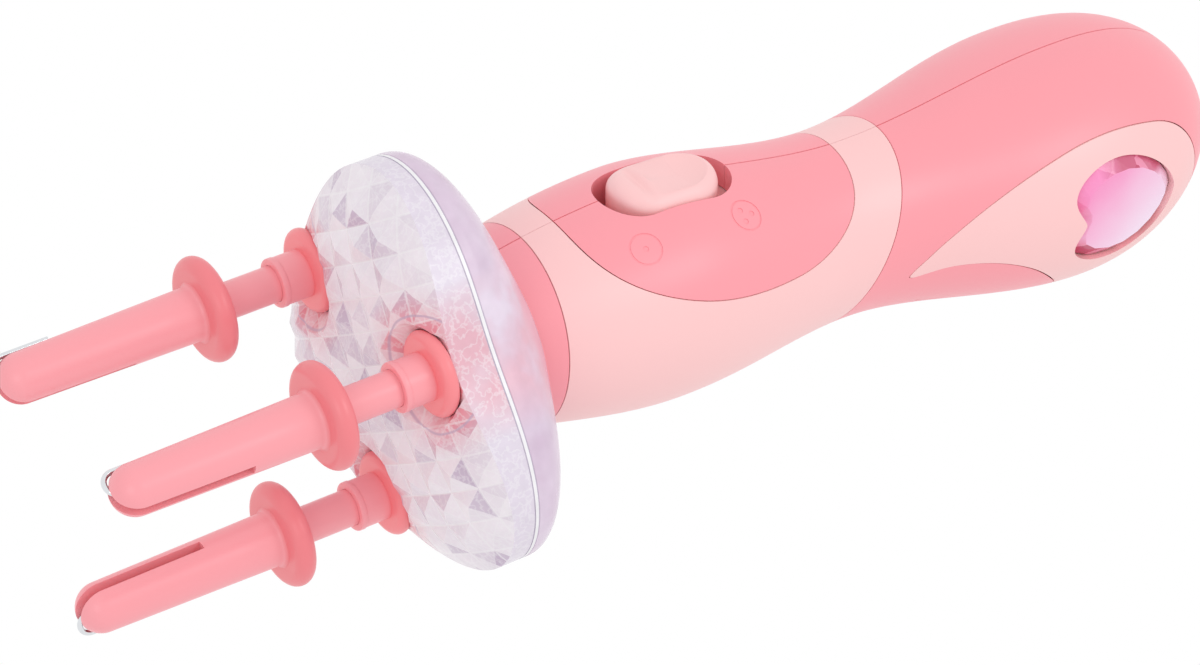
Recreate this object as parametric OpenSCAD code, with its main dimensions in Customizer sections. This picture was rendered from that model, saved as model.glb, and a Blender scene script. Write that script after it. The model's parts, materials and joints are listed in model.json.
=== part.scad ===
// Automatic hair braider: a battery handle, a clear three-lobed head that turns on it,
// and three spring-loaded prongs that twist and wind three strands of hair.
// X is the axis that the head turns about (prongs towards -X), Z is up, origin in the plane
// of the prongs' base flanges.

/* [Head] */
// Radius of the circle that the prong axes stand on
prong_circle_r = 28; // [26.5:0.5:30]
// How far the head is turned on the handle at rest, in degrees
head_turn = -5.5; // [-60:0.5:60]
// Distance from a prong's axis to the head's edge behind it
prong_margin = 7.2; // [7.2:0.1:8]
// How much further out the head's three corners reach
corner_reach = 11.2; // [9:0.2:12]
// Depth from the nose of the clear dome to the seam between dome and cover
dome_depth = 13.8; // [13.4:0.2:15]
// Length of the dome's straight rim in front of the seam
dome_rim_l = 5.2; // [4:0.2:6]
// Wall of the clear dome and cover
clear_wall = 1.6; // [1.2:0.1:1.6]
// Pitch of the pyramid relief, across and along the line from the axis to the near prong
relief_pitch = [7, 8.2]; // [6:0.2:10]
// Height of the pyramids
relief_h = 1.5; // [0.8:0.1:2]
// Length of the clear cover behind the seam
cover_depth = 15.8; // [15:0.2:16]
// Radius of the cover's back edge at the neck
cover_back_r = 24; // [22:0.5:26]

/* [Prongs] */
// Distance from the base flanges to the tips
prong_reach = 70.95; // [64:0.5:80]
// Length of the slotted barrel in front of the sliding flange
barrel_l = 44.5; // [40:0.5:48]
// Radius of the barrel at its tip
tip_r = 5.3; // [4.6:0.1:5.6]
// Radius of the barrel at its flange
barrel_r = 5.8; // [5.6:0.1:6.4]
// Radius of the sliding flange
slide_flange_r = 11.3; // [9:0.1:12]
// Thickness of the sliding flange
slide_flange_t = 4.8; // [3.4:0.1:5.6]
// Radius of the neck that slides into the collar
neck_r = 3.9; // [3.4:0.05:4.1]
// Radius of the collar around the neck
collar_r = 5.15; // [5.0:0.05:5.6]
// Length of the collar in front of the base flange
collar_l = 8.3; // [7:0.1:10]
// Radius of the base flange
base_flange_r = 9.1; // [8.4:0.1:9.4]
// Thickness of the base flange
base_flange_t = 3.4; // [2.6:0.1:4]
// Width of the slot through the barrel
slot_w = 2.3; // [1.8:0.1:2.8]
// Length of the slot from the tip
slot_l = 28.5; // [22:0.5:32]
// Diameter of the hook wire
wire_d = 1.2; // [0.9:0.1:1.4]
// Length of the hook's outer leg
hook_leg_l = 10.5; // [6:0.5:14]
// Travel of the sleeve against its spring
sleeve_travel = 6; // [4:0.5:6]
// Turn of each prong's slot about its own axis: far, near and low prong
slot_turns = [20, 235, 5]; // [0:5:355]

/* [Gears] */
// Teeth of the sun gear
sun_teeth = 63; // [60:3:66]
// Teeth of each prong gear
prong_teeth = 12; // [11:1:12]
// Module of the gears in the handle
train_module = 0.7; // [0.64:0.02:0.72]
// Teeth of each wheel in the handle
wheel_teeth = 24; // [22:1:24]
// Teeth of each pinion in the handle
pinion_teeth = 10; // [10:1:11]
// Face width of the gears
gear_w = 3.2; // [2.6:0.1:3.6]
// Radius of the output shaft
output_r = 3; // [2.4:0.1:3.2]
// Radius of the layshaft arbors
arbor_r = 1; // [0.8:0.05:1.2]

/* [Handle] */
// Front end of the handle
handle_x = 28; // [28:0.5:30]
// Half width and half height at the front end
collar_size = [20.8, 20.2]; // [20:0.2:23]
// Place of the widest part of the grip
grip_x = 65; // [60:1:70]
// Half width and half height of the grip
grip_size = [26, 25]; // [25:0.2:28]
// Place of the waist
waist_x = 111; // [108:1:114]
// Half width and half height of the waist
waist_size = [20.1, 20.6]; // [19.6:0.2:22]
// Place of the widest part of the battery bulb
bulb_x = 168; // [164:1:172]
// Half width and half height of the battery bulb
bulb_size = [30.2, 27.4]; // [29:0.2:32]
// Butt end of the handle
butt_x = 208.2; // [206:0.2:214]
// How far the bulb's centre hangs below the head's axis
bulb_drop = 7.8; // [6:0.2:9]
// Wall of the case
case_wall = 1.8; // [1.5:0.1:2.2]
// Thickness of the pale panels laid into the case
panel_t = 1.2; // [0.8:0.1:1.6]
// Slant of the grip panels' rear edge
waist_slant = 0.58; // [0.4:0.02:0.8]

/* [Switch] */
// Centre of the switch along the handle
switch_x = 69.8; // [68.6:0.1:71]
// Length of the switch button
button_l = 24.6; // [23:0.2:26]
// Width of the switch button
button_w = 16.8; // [14:0.2:17]
// Height of the button above the handle
button_rise = 1.3; // [0.8:0.1:2]
// Travel of the button each way
button_travel = 3; // [2:0.2:3]

/* [Power] */
// Diameter of a cell
cell_d = 14.5; // [13.5:0.1:14.5]
// Length of a cell
cell_l = 50.5; // [49:0.5:51]
// Front face of the battery tray
tray_x = 125; // [124:0.5:125.5]
// Radius of the motor can
motor_r = 10; // [9:0.1:10.2]
// Length of the motor can
motor_l = 22; // [20:0.5:24]
// Half width of the battery door
door_half_w = 15.6; // [15.2:0.2:17]

/* [Gem] */
// Length of the heart gem along the handle
gem_l = 27.3; // [24:0.1:29]
// Width of the heart gem across the lobes
gem_w = 24.6; // [20:0.2:25]

/* [Fits] */
// Radial clearance of a running fit
run_fit = 0.06; // [0.03:0.01:0.1]
// Gap between a panel and its recess
panel_gap = 0.15; // [0.1:0.05:0.3]
// Gap between parts that move past each other
free_gap = 0.4; // [0.3:0.05:0.6]

/* [Hidden] */
$fn = 48;

hot_pink = [0.99, 0.64, 0.67];
coral_pink = [0.97, 0.58, 0.61];
pale_pink = [1, 0.81, 0.81];
clear_lilac = [0.9, 0.86, 0.94, 0.45];
natural = [0.93, 0.92, 0.88];
steel = [0.75, 0.76, 0.78];

// Head layout along X
flat_r = prong_circle_r + prong_margin;
corner_r = flat_r + corner_reach;
dome_nose_x = -2.6;
seam_x = dome_nose_x + dome_depth;
cover_back_x = seam_x + cover_depth;
outline_steps = 60;
flange_back_x = base_flange_t * 0.6;
cup_x = flange_back_x + free_gap;
shank_r = 5.6;
shank_bore_r = shank_r + run_fit;
clip_r = shank_r + 0.9;
clip_groove_r = shank_r - 0.8;
clip_pocket_r = clip_r + 0.25;
boss_tube_end = seam_x - 3;
clip_t = 0.6;
clip_x = boss_tube_end + 0.15;
gear_x = boss_tube_end + clip_t + 0.8;
cover_rim_x = gear_x + gear_w;
sun_bore_hub_r = output_r + 3;
sun_window_r = 0.15 * prong_circle_r;
head_module = 2 * prong_circle_r / (sun_teeth + prong_teeth);
pivot_r = 2.5;
pivot_l = 4.6;
cover_boss_x = gear_x + gear_w + 1;
prong_angles = [30, 150, 270];

// Prong layout along X, on each prong's own axis
tip_x = -prong_reach;
slide_flange_x = tip_x + barrel_l;
neck_end_x = -1.4;
spring_room = sleeve_travel + 4.4;
bore_end_x = neck_end_x + spring_room;
neck_bore_r = neck_r + run_fit;
wire_r = wire_d / 2;
hook_offset = tip_r + 0.1;
hook_bend_r = hook_offset / 2;
hook_bend_x = tip_x + hook_bend_r + 0.3;
wire_end_x = bore_end_x + 3.6;

// Neck and gear train layout along X
hub_r = 9;
hub_end_x = 38.5;
retainer_x = 36;
retainer_t = 1.4;
groove_r = 7.9;
bush_r = 13;
front_wall_end = handle_x + 3;
bush_flange_r = 16;
bush_flange_t = 1.6;
plate_t = 2;
front_plate_x = 41;
output_gear_x = front_plate_x + plate_t + 0.8;
first_wheel_x = output_gear_x + gear_w + 1.6;
second_wheel_x = first_wheel_x + gear_w + 1.6;
rear_plate_x = second_wheel_x + gear_w + 1.4;
plate_r = 18.4;
plate_top = 9.2;
gear_distance = train_module * (wheel_teeth + pinion_teeth) / 2;
pressure_angle = 25;
backlash = 0.16;
first_axis_angle = 224;
second_axis_angle = 352;
motor_axis_angle = 117;
first_axis = gear_distance * [cos(first_axis_angle), sin(first_axis_angle)];
second_axis = first_axis + gear_distance * [cos(second_axis_angle), sin(second_axis_angle)];
motor_axis = second_axis + gear_distance * [cos(motor_axis_angle), sin(motor_axis_angle)];

// Handle layout
ring_points = 32;
shell_inset = case_wall + panel_t;
tray_wall = 1.6;
contact_t = 0.4;
contact_spring_l = 4;
tray_l = cell_l + contact_spring_l + 2 * (contact_t + tray_wall);
plate_front_x = tray_x + tray_wall + contact_t;
plate_back_x = tray_x + tray_l - tray_wall - contact_t;
cell_z = -bulb_drop - 1.2;
cell_y = cell_d / 2 + 0.35;
door_x = tray_x + 1;
door_l = tray_l - 0.5;
door_screw_x = door_x + door_l - 5;
gem_tip = [bulb_x + 17.1, -bulb_drop + 1.1];
// Case screws as [x, z]: below the neck, behind the motor, at the waist and behind the cells
case_boss_r = 3.9;
case_screw_places = [[handle_x + 8.8, -bush_flange_r - 0.2], [waist_x - 12, 8], [waist_x + 4.2, -9],
    [tray_x + tray_l + case_boss_r + 2.6, 0.8 - bulb_drop]];
screw_r = 1.1;
screw_head_r = 2.5;
screw_head_l = 1.8;
screw_seat_y = 7;
// Further out than any of the handle's skins, for cuts and blocks that run through them
reach = 2 * bulb_size[0];

// ---- helpers ----

function ease(t) = t * t * (3 - 2 * t);
function mix(a, b, t) = a + (b - a) * t;
function clamp01(t) = min(max(t, 0), 1);

// A cylinder along X from x0 to x1
module x_cyl(r, x0, x1, r2 = undef) {
    translate([x0, 0, 0]) rotate([0, 90, 0])
        cylinder(r1 = r, r2 = is_undef(r2) ? r : r2, h = x1 - x0);
}

// A profile of [x, r] points turned about X
module x_turned(profile) {
    rotate([0, 90, 0]) rotate_extrude() polygon([for (p = profile) [p[1], p[0]]]);
}

// A flat outline of [y, z] points drawn along X
module x_prism(points, x0, x1) {
    translate([x0, 0, 0]) rotate([90, 0, 90]) linear_extrude(x1 - x0) polygon(points);
}

// A flat outline of [x, z] points drawn along Y
module y_prism(points, y0, y1) {
    translate([0, y1, 0]) rotate([90, 0, 0]) linear_extrude(y1 - y0) polygon(points);
}

// Evaluates a blend of lofted skins as one smooth shell
module one_skin() {
    resize([0, 0, 0]) children();
}

// A closed skin through a list of equal rings of points, first ring at low X
module loft(rings) {
    n = len(rings[0]);
    m = len(rings);
    polyhedron(
        points = [for (ring = rings) each ring],
        faces = concat(
            [[for (i = [0:n - 1]) i]],
            [for (k = [0:m - 2], i = [0:n - 1])
                each [[k * n + i, (k + 1) * n + i, (k + 1) * n + (i + 1) % n],
                      [k * n + i, (k + 1) * n + (i + 1) % n, k * n + (i + 1) % n]]],
            [[for (i = [n - 1:-1:0]) (m - 1) * n + i]]));
}

// Turns a child about X into the head's rest place
module in_head() { rotate([head_turn, 0, 0]) children(); }

// Puts a child that is modelled on X onto prong number i's axis
module at_prong(i, turn = 0) {
    in_head() rotate([prong_angles[i], 0, 0]) translate([0, prong_circle_r, 0])
        rotate([turn, 0, 0]) children();
}

// ---- gears ----

function involute(a) = tan(a) - a * PI / 180;

// Half of the tooth's angle at radius r
function half_tooth(z, m, r) =
    let (base = z * m / 2 * cos(pressure_angle))
    180 / PI * (PI / (2 * z) + involute(pressure_angle) - involute(acos(min(1, base / r)))
        - backlash / (z * m));

function gear_points(z, m) =
    let (pitch = z * m / 2, base = pitch * cos(pressure_angle),
         root = pitch - 1.22 * m, tip = pitch + 0.96 * m, low = max(base, root + 0.02),
         radii = [root, low, mix(low, tip, 0.3), mix(low, tip, 0.65), tip])
    [for (k = [0:z - 1]) each concat(
        [for (r = radii) let (a = 360 * k / z - half_tooth(z, m, max(r, low)))
            r * [cos(a), sin(a)]],
        [for (j = [len(radii) - 1:-1:0])
            let (r = radii[j], a = 360 * k / z + half_tooth(z, m, max(r, low)))
            r * [cos(a), sin(a)]])];

// Turn of a gear so that it meshes with a gear of z1 teeth turned by turn1, lying at angle a from it
function mesh_turn(z1, turn1, z2, a) =
    let (u = (a - turn1) * z1 / 360, v = 0.5 - u)
    a + 180 - v * 360 / z2;

module gear(z, m, w, turn = 0) {
    rotate([turn, 0, 0]) x_prism(gear_points(z, m), 0, w);
}

output_turn = 0;
first_turn = mesh_turn(wheel_teeth, output_turn, pinion_teeth, first_axis_angle);
second_turn = mesh_turn(wheel_teeth, first_turn, pinion_teeth, second_axis_angle);
pinion_turn = mesh_turn(wheel_teeth, second_turn, pinion_teeth, motor_axis_angle);

// ---- head ----

// Radius of the head's outline at angle a, with the prongs at 30, 150 and 270 degrees
function outline_r(a) = (corner_r + flat_r) / 2 - (corner_r - flat_r) / 2 * cos(3 * (a - 30));
function outline(inset) = [for (i = [0:outline_steps - 1]) let (a = 360 * i / outline_steps)
    (outline_r(a) - inset) * [cos(a), sin(a)]];

// Front surface of the dome at a place in the YZ plane
dome_rise = dome_depth - dome_rim_l;
function dome_x(y, z) =
    let (r = norm([y, z]), edge = mix(corner_r, outline_r(atan2(z, y)), 0.5))
    dome_nose_x + dome_rise * pow(min(r / edge, 1.15), 4);

// The relief's net has a cell in its middle, and one of its two directions meets the near prong
relief_turn = prong_angles[1] - 90;
relief_cells = [for (pitch = relief_pitch) 2 * ceil(corner_r / pitch) + 1];
function relief_place(i, j) = let (
        a = (i - relief_cells[0] / 2) * relief_pitch[0], b = (j - relief_cells[1] / 2) * relief_pitch[1])
    [a * cos(relief_turn) - b * sin(relief_turn), a * sin(relief_turn) + b * cos(relief_turn)];

// A block behind a net over the dome's surface, with a pyramid in each cell
module relief_block(push, peak, back_x) {
    cells = relief_cells[0];
    rows = relief_cells[1];
    function on_dome(place, raised) = [dome_x(place[0], place[1]) + push - raised, place[0], place[1]];
    corners = [for (i = [0:cells], j = [0:rows]) on_dome(relief_place(i, j), 0)];
    peaks = [for (i = [0:cells - 1], j = [0:rows - 1]) on_dome(relief_place(i + 0.5, j + 0.5), peak)];
    backs = [for (c = [[0, 0], [cells, 0], [cells, rows], [0, rows]])
        concat(back_x, relief_place(c[0], c[1]))];
    p0 = len(corners);
    b0 = p0 + len(peaks);
    function at(i, j) = i * (rows + 1) + j;
    polyhedron(points = concat(corners, peaks, backs), faces = concat(
        [for (i = [0:cells - 1], j = [0:rows - 1]) let (p = p0 + i * rows + j) each [
            [p, at(i, j), at(i + 1, j)], [p, at(i + 1, j), at(i + 1, j + 1)],
            [p, at(i + 1, j + 1), at(i, j + 1)], [p, at(i, j + 1), at(i, j)]]],
        [concat([for (i = [cells:-1:0]) at(i, 0)], [b0, b0 + 1])],
        [concat([for (j = [rows:-1:0]) at(cells, j)], [b0 + 1, b0 + 2])],
        [concat([for (i = [0:cells]) at(i, rows)], [b0 + 2, b0 + 3])],
        [concat([for (j = [0:rows]) at(0, j)], [b0 + 3, b0])],
        [[b0 + 3, b0 + 2, b0 + 1, b0]]));
}

module at_prongs() { for (a = prong_angles) rotate([a, 0, 0]) translate([0, prong_circle_r, 0]) children(); }

module front_dome() color(clear_lilac) in_head() difference() {
    one_skin() union() {
        difference() {
            intersection() {
                relief_block(0, relief_h, seam_x + 20);
                x_prism(outline(0), dome_nose_x - 5, seam_x);
            }
            intersection() {
                relief_block(clear_wall, 0, seam_x + 20);
                x_prism(outline(clear_wall), dome_nose_x - 5, seam_x + 1);
            }
            at_prongs() x_cyl(base_flange_r + 0.6, dome_nose_x - 5, cup_x);
        }
        intersection() {
            at_prongs() union() {
                x_cyl(base_flange_r + 1.4, cup_x, cup_x + 2);
                x_cyl(shank_bore_r + 1.5, cup_x + 1, boss_tube_end + 0.2);
            }
            x_prism(outline(clear_wall / 2), dome_nose_x, seam_x);
        }
    }
    at_prongs() union() {
        x_cyl(shank_bore_r, dome_nose_x - 5, boss_tube_end + 1);
        x_cyl(clip_pocket_r, boss_tube_end, clip_x + clip_t + free_gap);
    }
}

// Rings of the rear cover: a straight rim, then a curve that falls ever faster to the neck
cover_steps = 8;
function cover_rings(inset, x_start, x_back) =
    concat([[for (p = outline(inset)) [x_start, p[0], p[1]]]],
        [for (k = [0:cover_steps]) let (u = k / cover_steps) [for (i = [0:outline_steps - 1])
            let (a = 360 * i / outline_steps, r = mix(outline_r(a), cover_back_r, u * u) - inset)
            [mix(cover_rim_x, x_back, u), r * cos(a), r * sin(a)]]]);

module rear_cover() color(clear_lilac) in_head() difference() {
    union() {
        one_skin() difference() {
            loft(cover_rings(0, seam_x, cover_back_x));
            loft(cover_rings(clear_wall, seam_x - 1, cover_back_x - clear_wall));
        }
        x_cyl(hub_r, cover_back_x - clear_wall - 0.5, hub_end_x);
        x_cyl(sun_bore_hub_r, cover_boss_x, cover_back_x - 1);
        intersection() {
            at_prongs() x_cyl(pivot_r + 2, cover_boss_x, cover_back_x);
            one_skin() loft(cover_rings(clear_wall / 2, seam_x, cover_back_x - clear_wall / 2));
        }
    }
    x_cyl(output_r + run_fit, seam_x, hub_end_x + 1);
    at_prongs() x_cyl(pivot_r + run_fit, cover_boss_x - 1, gear_x + gear_w + pivot_l + free_gap);
    difference() {
        x_cyl(hub_r + 1, retainer_x, retainer_x + retainer_t + 0.1);
        x_cyl(groove_r, retainer_x - 1, retainer_x + retainer_t + 1);
    }
}

module head_retainer() color(steel) in_head() difference() {
    x_cyl(hub_r + 3, retainer_x, retainer_x + retainer_t);
    x_cyl(groove_r, retainer_x - 1, retainer_x + retainer_t + 1);
}

module neck_bush() color(natural) difference() {
    union() {
        x_cyl(bush_r, handle_x, front_wall_end);
        x_cyl(bush_flange_r, front_wall_end, front_wall_end + bush_flange_t);
    }
    x_cyl(hub_r + run_fit, handle_x - 1, front_wall_end + bush_flange_t + 1);
}

// ---- prongs ----

// A rounded rim: points of a half circle of radius r around [x, y], on the outer side
function rim_arc(x, y, r) = [for (a = [0:15:180]) [x - r * cos(a), y + r * sin(a)]];

module spindle(i) color(coral_pink) at_prong(i, slot_turns[i]) {
    rim = base_flange_t / 2;
    rim_x = flange_back_x - rim;
    difference() {
        union() {
            x_turned(concat([[-collar_l, 0], [-collar_l, collar_r]],
                [[rim_x - rim, collar_r]],
                rim_arc(rim_x, base_flange_r - rim, rim),
                [[flange_back_x, shank_r], [boss_tube_end + 0.1, shank_r],
                 [boss_tube_end + 0.1, clip_groove_r], [gear_x - 0.1, clip_groove_r],
                 [gear_x - 0.1, pivot_r], [gear_x + gear_w + pivot_l, pivot_r],
                 [gear_x + gear_w + pivot_l, 0]]));
            translate([gear_x - 0.2, 0, 0])
                gear(prong_teeth, head_module, gear_w + 0.2, prong_gear_turn(i) - slot_turns[i]);
        }
        x_cyl(neck_bore_r, -collar_l - 1, bore_end_x);
        x_cyl(wire_r, bore_end_x - 1, wire_end_x);
    }
}
// The prong gears are meshed with the sun gear in the prong's own frame, turned back by its angle
function prong_gear_turn(i) = mesh_turn(sun_teeth, 0, prong_teeth, prong_angles[i]) - prong_angles[i];

module sleeve(i) color(coral_pink) at_prong(i, slot_turns[i]) {
    rim = slide_flange_t / 2;
    difference() {
        x_turned(concat(
            [[tip_x, 0]],
            [for (a = [15:15:90]) [tip_x + tip_r * (1 - cos(a)), tip_r * sin(a)]],
            [[slide_flange_x - 1.2, barrel_r], [slide_flange_x, barrel_r + 0.8]],
            rim_arc(slide_flange_x + rim, slide_flange_r - rim, rim),
            [[slide_flange_x + slide_flange_t, neck_r + 0.9],
             [slide_flange_x + slide_flange_t + 0.9, neck_r], [neck_end_x, neck_r], [neck_end_x, 0]]));
        x_cyl(wire_r + 0.35, tip_x + slot_l - 2, neck_end_x + 1);
        translate([tip_x - 1, -slide_flange_r, -slot_w / 2]) cube([slot_l + 1, 2 * slide_flange_r, slot_w]);
    }
}

module hook(i) color(steel) at_prong(i, slot_turns[i]) {
    x_cyl(wire_r, hook_bend_x, wire_end_x);
    translate([hook_bend_x, hook_bend_r, 0]) rotate([0, 0, 90])
        rotate_extrude(angle = 180) translate([hook_bend_r, 0]) circle(wire_r, $fn = 24);
    translate([0, hook_offset, 0]) x_cyl(wire_r, hook_bend_x, hook_bend_x + hook_leg_l);
}

module return_spring(i) color(steel) at_prong(i) {
    turns = 5;
    steps = 10;
    sides = 5;
    coil_r = 2.9;
    spring_wire_r = 0.35;
    end_gap = spring_wire_r + 0.12;
    length = spring_room - 2 * end_gap;
    loft([for (k = [0:turns * steps]) let (a = 360 * k / steps,
            x = neck_end_x + end_gap + length * k / (turns * steps))
        [for (s = [0:sides - 1]) let (b = 360 * s / sides, r = coil_r + spring_wire_r * cos(b))
            [x + spring_wire_r * sin(b), r * cos(a), r * sin(a)]]]);
}

module spindle_clip(i) color(steel) at_prong(i) difference() {
    x_cyl(clip_r, clip_x, clip_x + clip_t - 0.05);
    x_cyl(clip_groove_r, clip_x - 1, clip_x + clip_t + 1);
}

module far_spindle() spindle(0);
module near_spindle() spindle(1);
module low_spindle() spindle(2);
module far_sleeve() sleeve(0);
module near_sleeve() sleeve(1);
module low_sleeve() sleeve(2);
module far_hook() hook(0);
module near_hook() hook(1);
module low_hook() hook(2);
module far_spring() return_spring(0);
module near_spring() return_spring(1);
module low_spring() return_spring(2);
module far_clip() spindle_clip(0);
module near_clip() spindle_clip(1);
module low_clip() spindle_clip(2);

// ---- gear train ----

module sun_gear() color(natural) in_head() difference() {
    union() {
        translate([gear_x, 0, 0]) gear(sun_teeth, head_module, gear_w);
        x_cyl(sun_bore_hub_r, gear_x - 3, gear_x + gear_w + 0.6);
    }
    x_cyl(output_r, gear_x - 4, gear_x + gear_w + 1);
    for (a = [0:60:300]) rotate([a, 0, 0]) translate([0, prong_circle_r / 2, 0])
        x_cyl(sun_window_r, gear_x - 1, gear_x + gear_w + 1);
}

module output_shaft() color(steel) x_cyl(output_r, gear_x - 3, output_gear_x + gear_w + 0.8);

module output_gear() color(natural) difference() {
    translate([output_gear_x, 0, 0]) gear(wheel_teeth, train_module, gear_w, output_turn);
    x_cyl(output_r, output_gear_x - 1, output_gear_x + gear_w + 1);
}

module at_axis(axis) { translate([0, axis[0], axis[1]]) children(); }

// A pinion that drives the gear in front of it, in one piece with the wheel behind it
module layshaft_gear(axis, pinion_x, wheel_x, turn) color(natural) at_axis(axis) difference() {
    union() {
        translate([pinion_x, 0, 0]) gear(pinion_teeth, train_module, wheel_x - pinion_x + 0.1, turn);
        translate([wheel_x, 0, 0]) gear(wheel_teeth, train_module, gear_w, turn);
    }
    x_cyl(arbor_r + run_fit, pinion_x - 1, wheel_x + gear_w + 1);
}

module arbor(axis, x0, x1) color(steel) at_axis(axis) x_cyl(arbor_r, x0, x1);

module first_arbor() arbor(first_axis, front_plate_x + 0.2, rear_plate_x + plate_t - 0.2);
module first_gear() layshaft_gear(first_axis, output_gear_x - 0.3, first_wheel_x, first_turn);
module second_arbor() arbor(second_axis, front_plate_x + 0.2, rear_plate_x + plate_t - 0.2);
module second_gear() layshaft_gear(second_axis, first_wheel_x - 0.3, second_wheel_x, second_turn);

module plate_outline(x0, x1) intersection() {
    x_cyl(plate_r, x0, x1);
    translate([x0 - 1, -plate_r, -plate_r]) cube([x1 - x0 + 2, 2 * plate_r, plate_r + plate_top]);
}

// The spacers stand clear of both layshafts' wheels
spacer_r = 1.6;
spacer_places = [for (a = [-24, 24, 168]) (plate_r - spacer_r - 1) * [cos(a), sin(a)]];

module gear_plate(x) difference() {
    plate_outline(x, x + plate_t);
    for (axis = [first_axis, second_axis]) at_axis(axis)
        x_cyl(arbor_r + run_fit, x - 1, x + plate_t + 1);
}

module front_plate() color(natural) difference() {
    gear_plate(front_plate_x);
    x_cyl(output_r + run_fit, front_plate_x - 1, front_plate_x + plate_t + 1);
}

motor_boss_r = 3;
motor_boss_l = 1.6;
motor_shaft_r = 1;
motor_bush_r = 2;
motor_bush_l = 4.4;
motor_screw_y = 6;
motor_screw_r = 0.9;
motor_x = rear_plate_x + plate_t;
motor_flat = 7.6;
motor_cap_t = 2.4;

module rear_plate() color(natural) difference() {
    gear_plate(rear_plate_x);
    at_axis(motor_axis) {
        x_cyl(motor_boss_r, rear_plate_x - 1, rear_plate_x + plate_t + 1);
        for (s = [-1, 1]) translate([0, motor_screw_y * s, 0])
            x_cyl(motor_screw_r, rear_plate_x - 1, rear_plate_x + plate_t + 1);
    }
}

module plate_spacers() color(steel) for (p = spacer_places) at_axis(p)
    x_cyl(spacer_r, front_plate_x + plate_t, rear_plate_x);

module motor_outline(x0, x1) intersection() {
    x_cyl(motor_r, x0, x1);
    translate([x0 - 1, -motor_r, -motor_flat]) cube([x1 - x0 + 2, 2 * motor_r, 2 * motor_flat]);
}

module motor_can() color(steel) at_axis(motor_axis) difference() {
    union() {
        motor_outline(motor_x, motor_x + motor_l);
        x_cyl(motor_boss_r, motor_x - motor_boss_l, motor_x + 0.1);
    }
    x_cyl(motor_shaft_r + run_fit, motor_x, motor_x + motor_l + 1);
    x_cyl(motor_bush_r + run_fit, motor_x - motor_boss_l - 1, motor_x - motor_boss_l + motor_bush_l + 0.1);
    for (s = [-1, 1]) translate([0, motor_screw_y * s, 0]) x_cyl(motor_screw_r, motor_x - 1, motor_x + 3);
}

// The oiled bush in the nose of the motor that the shaft runs in
module motor_bush() color([0.8, 0.66, 0.35]) at_axis(motor_axis) difference() {
    x_cyl(motor_bush_r, motor_x - motor_boss_l, motor_x - motor_boss_l + motor_bush_l);
    x_cyl(motor_shaft_r + run_fit, motor_x - motor_boss_l - 1, motor_x + motor_bush_l);
}

module motor_cap() color("white") at_axis(motor_axis) difference() {
    motor_outline(motor_x + motor_l, motor_x + motor_l + motor_cap_t);
    x_cyl(motor_shaft_r + run_fit, motor_x + motor_l - 1, motor_x + motor_l + motor_cap_t + 1);
}

module motor_screws() color(steel) at_axis(motor_axis) for (s = [-1, 1])
        translate([0, motor_screw_y * s, 0]) {
    x_cyl(motor_screw_r, rear_plate_x, motor_x + 2.6);
    x_cyl(motor_screw_r + 0.7, rear_plate_x - 0.8, rear_plate_x);
}

module motor_shaft() color(steel) at_axis(motor_axis)
    x_cyl(motor_shaft_r, second_wheel_x - 0.6, motor_x + motor_l + motor_cap_t + 0.8);

module motor_pinion() color([0.8, 0.66, 0.35]) at_axis(motor_axis) difference() {
    translate([second_wheel_x - 0.3, 0, 0]) gear(pinion_teeth, train_module, gear_w + 0.3, pinion_turn);
    x_cyl(motor_shaft_r, second_wheel_x - 2, second_wheel_x + gear_w + 1);
}

// ---- handle shells ----

// Half width, half height and centre height of the handle at x
function handle_size(x) =
    x < grip_x ? let (t = sin(90 * clamp01((x - handle_x) / (grip_x - handle_x))))
        mix(collar_size, grip_size, t)
    : x < waist_x ? mix(grip_size, waist_size, ease((x - grip_x) / (waist_x - grip_x)))
    : x < bulb_x ? mix(waist_size, bulb_size, ease((x - waist_x) / (bulb_x - waist_x)))
    : bulb_size * sqrt(max(0, 1 - pow((x - bulb_x) / (butt_x - bulb_x), 2.2)));
grip_drop = 1.4;
butt_drop = bulb_drop - 2;
// Below 1, the handle bends down early behind the grip
bend_lead = 0.74;
function handle_z(x) =
    x < grip_x ? -grip_drop * ease(clamp01((x - handle_x) / (grip_x - handle_x)))
    : x < bulb_x ? -mix(grip_drop, bulb_drop, ease(pow((x - grip_x) / (bulb_x - grip_x), bend_lead)))
    : -mix(bulb_drop, butt_drop, ease(clamp01((x - bulb_x) / (butt_x - bulb_x))));

// One ring of the handle's skin, inset along its normal in the YZ plane
function handle_ring(x, inset) = let (s = handle_size(x), z0 = handle_z(x))
    [for (i = [0:ring_points - 1]) let (a = 360 * i / ring_points)
        [x, (s[0] - inset) * cos(a), z0 + (s[1] - inset) * sin(a)]];

body_rings = 26;
butt_rings = 8;
// The handle's skin from x0 to its butt, inset by one amount all round
module handle_skin(inset, x0 = handle_x) {
    butt_end = 88;
    loft(concat(
        [for (k = [0:body_rings]) handle_ring(mix(x0, bulb_x, k / body_rings), inset)],
        [for (k = [1:butt_rings]) let (f = butt_end * k / butt_rings,
                x = mix(bulb_x, butt_x, sin(f)), s = handle_size(x), z0 = handle_z(x))
            [for (i = [0:ring_points - 1]) let (a = 360 * i / ring_points,
                    keep = max(0.02, 1 - inset / bulb_size[1]))
                [mix(bulb_x, x, (butt_x - inset - bulb_x) / (butt_x - bulb_x)),
                 s[0] * keep * cos(a), z0 + s[1] * keep * sin(a)]]]));
}

// Half space of one side: side is -1 for left (-Y) and +1 for right
module side_half(side) {
    translate([0, side > 0 ? 0 : -reach, -reach]) cube([butt_x + reach, reach, 2 * reach]);
}

// The bowl-shaped window on top of the grip, as an outline in the XZ plane
window_front = grip_x - 22;
window_back = waist_x + 2;
window_lowest_x = waist_x - 19;
window_low = 3;
window_front_z = grip_size[1] - 2;
window_back_z = waist_size[1] - 1.6;
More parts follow.
